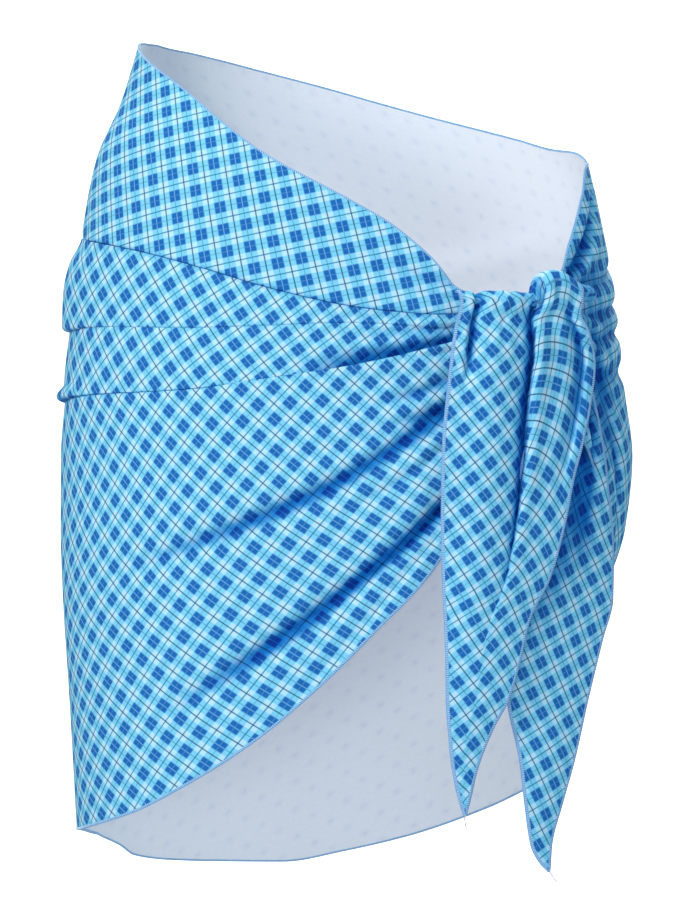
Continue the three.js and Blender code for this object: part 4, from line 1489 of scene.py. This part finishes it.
def cloth_inside(cloth):
    found = bpy.data.materials.get("Cloth inside")
    if found:
        return found
    material, tree, surface = new_material("Cloth inside")
    _, maths, blend = node_tools(tree)
    plaid, knit = cloth_nodes(tree, cloth)
    feed(tree, plaid, {"Band": cloth.band * 0.6, "Softness": 0.0035})
    patches = maths("MULTIPLY_ADD", knit.outputs["Unevenness"], 2.4, -0.75, clamp=True)
    through = maths("MULTIPLY", maths("MULTIPLY", plaid.outputs["Crossing"], patches), 0.34)
    colour = blend(through, opaque(cloth.inside), opaque(cloth.print_through))
    shade = maths("MULTIPLY_ADD", knit.outputs["Unevenness"], 0.1, 0.95)
    feed(tree, surface, {
        "Base Color": blend(1.0, colour, shade, "MULTIPLY"),
        "Normal": bumped(tree, knit.outputs["Height"], 0.2),
        "Roughness": 0.8, "Specular IOR Level": 0.2, "Sheen Weight": 0.1,
    })
    return material


def edge_finish(name, dark, pale):
    material, tree, surface = new_material(name)
    _, _, blend = node_tools(tree)
    noise = object_noise(tree, 900)
    feed(tree, surface, {
        "Base Color": blend(noise, dark, pale), "Normal": bumped(tree, noise, 0.3),
        "Roughness": 0.6, "Sheen Weight": 0.2,
    })
    return material


# ---- camera, backdrop and light ----
CAMERA_PLACE = (-0.01147, -0.2210)  # across and up
AIM = (0.0, 0.0, -0.22)
FLOOR, FLOOR_RADIUS, COVE_RADIUS, WALL_TOP, BACKDROP_SIDES = -1.0, 3.0, 1.6, 3.5, 96
WHITE, BLUE = (1, 1, 1), (0.55, 0.82, 1)
# Place, size, share of the key light's power and colour.
LIGHTS = {
    "Key light": ((-1.5, -2.0, 1.5), 0.9, 1.0, WHITE),
    "Low light": ((-0.7, -2.6, -0.75), 1.2, 0.4, WHITE),
    "Side light": ((1.9, -1.7, 0.1), 1.4, 0.22, BLUE),
    "Top light": ((0.1, 0.3, 2.0), 1.2, 0.45, WHITE),
    "Rear light": ((0.9, 2.6, 0.9), 1.4, 0.6, WHITE),
}


def make_camera(studio):
    camera = bpy.data.cameras.new("Camera")
    camera.lens = studio.lens
    camera.sensor_width = 36
    camera.clip_end = 50
    holder = add_object("Camera", camera)
    holder.location = (CAMERA_PLACE[0], -studio.distance, CAMERA_PLACE[1])
    holder.rotation_euler = (math.radians(90), 0, 0)
    bpy.context.scene.camera = holder


def make_backdrop(studio):
    """A round floor that curves up into a round wall."""
    profile = [(FLOOR_RADIUS, FLOOR)]
    for degrees in range(6, 91, 6):
        bend = math.radians(degrees)
        across, up = COVE_RADIUS * math.sin(bend), COVE_RADIUS * (1 - math.cos(bend))
        profile.append((FLOOR_RADIUS + across, FLOOR + up))
    profile.append((FLOOR_RADIUS + COVE_RADIUS, WALL_TOP))
    sides = BACKDROP_SIDES
    vertices = [(0.0, 0.0, FLOOR)]
    for radius, height in profile:
        for k in range(sides):
            angle = 2 * math.pi * k / sides
            vertices.append((radius * math.cos(angle), radius * math.sin(angle), height))
    faces = [(0, 1 + k, 1 + (k + 1) % sides) for k in range(sides)]
    for ring in range(len(profile) - 1):
        start = 1 + ring * sides
        for k in range(sides):
            n = (k + 1) % sides
            faces.append((start + k, start + sides + k, start + sides + n, start + n))
    mesh = bpy.data.meshes.new("Backdrop")
    mesh.from_pydata(vertices, [], faces)
    smooth(mesh)
    backdrop = add_object("Backdrop", mesh)
    material, tree, surface = new_material("Backdrop paper")
    node, maths, blend = node_tools(tree)
    seen = node("ShaderNodeLightPath").outputs["Is Camera Ray"]
    feed(tree, surface, {
        "Base Color": blend(object_noise(tree, 60), linear("#c4c8cc"), linear("#cacdd0")), "Roughness": 0.9,
        "Emission Color": opaque(WHITE), "Emission Strength": maths("MULTIPLY", seen, studio.backdrop_glow),
    })
    mesh.materials.append(material)
    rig.stage(backdrop)


def make_lights(studio):
    world = bpy.data.worlds.new("Studio")
    world.use_nodes = True
    feed(world.node_tree, world.node_tree.nodes["Background"], {0: (0.62, 0.82, 1, 1), 1: studio.ambient})
    bpy.context.scene.world = world
    for name, (place, size, share, colour) in LIGHTS.items():
        light = bpy.data.lights.new(name, "AREA")
        light.shape = "DISK"
        light.size = size
        light.energy = studio.key_power * share
        light.color = colour
        lamp = add_object(name, light)
        lamp.location = place
        x, y, z = (AIM[i] - place[i] for i in range(3))
        lamp.rotation_euler = (math.atan2(math.hypot(x, y), -z), 0, math.atan2(-x, y))


def make_studio():
    scene = bpy.context.scene
    scene.view_settings.view_transform = "Standard"
    scene.view_settings.look = "None"
    for make in (make_camera, make_backdrop, make_lights):
        make(scene.sarong_studio)


# ---- the add-on ----
class SarongCloth(bpy.types.PropertyGroup):
    """Sizes and colours of the cloth."""

    thickness: bpy.props.FloatProperty(
        name="Thickness", description="Thickness of the swim cloth", default=0.0008, unit="LENGTH")
    period: bpy.props.FloatProperty(
        name="Period", description="Distance from one band of the plaid to the next", default=0.0136,
        unit="LENGTH")
    band: bpy.props.FloatProperty(
        name="Band", description="Share of the period that a blue band takes", default=0.5, subtype="FACTOR")
    both_bands: bpy.props.FloatVectorProperty(
        name="Crossing bands", description="Colour where two bands cross", default=linear("#1b6bb6")[:3],
        subtype="COLOR")
    one_band: bpy.props.FloatVectorProperty(
        name="One band", description="Colour of one band", default=linear("#82d4f3")[:3], subtype="COLOR")
    no_band: bpy.props.FloatVectorProperty(
        name="Ground", description="Colour between the bands", default=linear("#bfe8fc")[:3], subtype="COLOR")
    dark_line: bpy.props.FloatVectorProperty(
        name="Dark line", description="Colour of the dark lines", default=linear("#04486c")[:3], subtype="COLOR")
    band_line: bpy.props.FloatVectorProperty(
        name="Band line", description="Colour of the thin line along each band", default=linear("#0c7da6")[:3],
        subtype="COLOR")
    pale_line: bpy.props.FloatVectorProperty(
        name="Pale line", description="Colour of that line where bands cross", default=linear("#93d2ff")[:3],
        subtype="COLOR")
    inside: bpy.props.FloatVectorProperty(
        name="Inside", description="Colour of the cloth's unprinted side", default=linear("#f6f9ff")[:3],
        subtype="COLOR")
    print_through: bpy.props.FloatVectorProperty(
        name="Print through", description="Colour that the print shows on the unprinted side",
        default=linear("#aebfdc")[:3], subtype="COLOR")


class SarongEdging(bpy.types.PropertyGroup):
    """Sizes and colour of the overlocked edge."""

    pitch: bpy.props.FloatProperty(
        name="Pitch", description="Distance from stitch to stitch", default=0.0013, unit="LENGTH")
    thread_radius: bpy.props.FloatProperty(
        name="Thread radius", description="Half the thickness of the thread", default=0.0002, unit="LENGTH")
    width: bpy.props.FloatProperty(
        name="Width", description="Width of the edging, as a share of the usual one", default=1.0,
        subtype="FACTOR")
    colour: bpy.props.FloatVectorProperty(
        name="Edge", description="Colour of the cloth's edge under the thread", default=linear("#4b8fcf")[:3],
        subtype="COLOR")


class SarongStudio(bpy.types.PropertyGroup):
    """The camera and the lights."""

    distance: bpy.props.FloatProperty(
        name="Camera distance", description="From the camera to the waist's centre", default=2.6, unit="LENGTH")
    lens: bpy.props.FloatProperty(
        name="Lens", description="Focal length in millimetres", default=163.9)
    key_power: bpy.props.FloatProperty(
        name="Key light", description="Power of the largest light in watts", default=49.5)
    ambient: bpy.props.FloatProperty(
        name="Ambient", description="Strength of the light from all round", default=0.3)
    backdrop_glow: bpy.props.FloatProperty(
        name="Backdrop glow", description="Light that the paper backdrop gives off", default=1.2)


class SARONG_OT_front(bpy.types.Operator):
    """Makes the four stretches of the front"""

    bl_idname = "sarong.front"
    bl_label = "Front"

    def execute(self, context):
        make_front()
        return {"FINISHED"}


class SARONG_OT_back(bpy.types.Operator):
    """Makes the back of the wrap"""

    bl_idname = "sarong.back"
    bl_label = "Back"

    def execute(self, context):
        make_back()
        return {"FINISHED"}


class SARONG_OT_hip_gather(bpy.types.Operator):
    """Makes the gathered stretch over the left hip"""

    bl_idname = "sarong.hip_gather"
    bl_label = "Gathered hip"

    def execute(self, context):
        make_hip_gather()
        return {"FINISHED"}


class SARONG_OT_knot(bpy.types.Operator):
    """Makes the band and the loop of the knot"""

    bl_idname = "sarong.knot"
    bl_label = "Knot"

    def execute(self, context):
        make_knot()
        return {"FINISHED"}


class SARONG_OT_ties(bpy.types.Operator):
    """Makes the two hanging ends"""

    bl_idname = "sarong.ties"
    bl_label = "Tied ends"

    def execute(self, context):
        make_front_tie()
        make_rear_tie()
        return {"FINISHED"}


class SARONG_OT_edging(bpy.types.Operator):
    """Makes the overlocked edge and says how every piece of cloth was cut"""

    bl_idname = "sarong.edging"
    bl_label = "Edging"

    def execute(self, context):
        make_edging()
        declare_sheets()
        return {"FINISHED"}


class SARONG_OT_studio(bpy.types.Operator):
    """Makes the camera, the backdrop and the lights"""

    bl_idname = "sarong.studio"
    bl_label = "Studio"

    def execute(self, context):
        make_studio()
        return {"FINISHED"}


STEPS = (
    SARONG_OT_front, SARONG_OT_back, SARONG_OT_hip_gather, SARONG_OT_knot, SARONG_OT_ties, SARONG_OT_edging,
    SARONG_OT_studio,
)
SETTINGS = {"sarong_cloth": SarongCloth, "sarong_edging": SarongEdging, "sarong_studio": SarongStudio}


class SARONG_PT_panel(bpy.types.Panel):
    """Lists the sarong's pieces and sizes"""

    bl_idname = "SARONG_PT_panel"
    bl_label = "Tied sarong"
    bl_space_type = "VIEW_3D"
    bl_region_type = "UI"
    bl_category = "Sarong"

    def draw(self, context):
        for name, settings in SETTINGS.items():
            box = self.layout.box()
            for value in settings.__annotations__:
                box.prop(getattr(context.scene, name), value)
        for step in STEPS:
            self.layout.operator(step.bl_idname)


def register():
    for kind in (*SETTINGS.values(), *STEPS, SARONG_PT_panel):
        bpy.utils.register_class(kind)
    for name, settings in SETTINGS.items():
        setattr(bpy.types.Scene, name, bpy.props.PointerProperty(type=settings))


def unregister():
    for name in SETTINGS:
        delattr(bpy.types.Scene, name)
    for kind in (SARONG_PT_panel, *reversed(STEPS), *reversed(SETTINGS.values())):
        bpy.utils.unregister_class(kind)


def main():
    register()
    bpy.ops.sarong.front()
    bpy.ops.sarong.back()
    bpy.ops.sarong.hip_gather()
    bpy.ops.sarong.knot()
    bpy.ops.sarong.ties()
    bpy.ops.sarong.edging()
    bpy.ops.sarong.studio()
    visual_box = [list(corner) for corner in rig.bounds()]
    with open("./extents.json", "w") as file:
        json.dump({"cad": CAD_BOX, "visual": visual_box}, file)


if __name__ == "__main__":
    main()
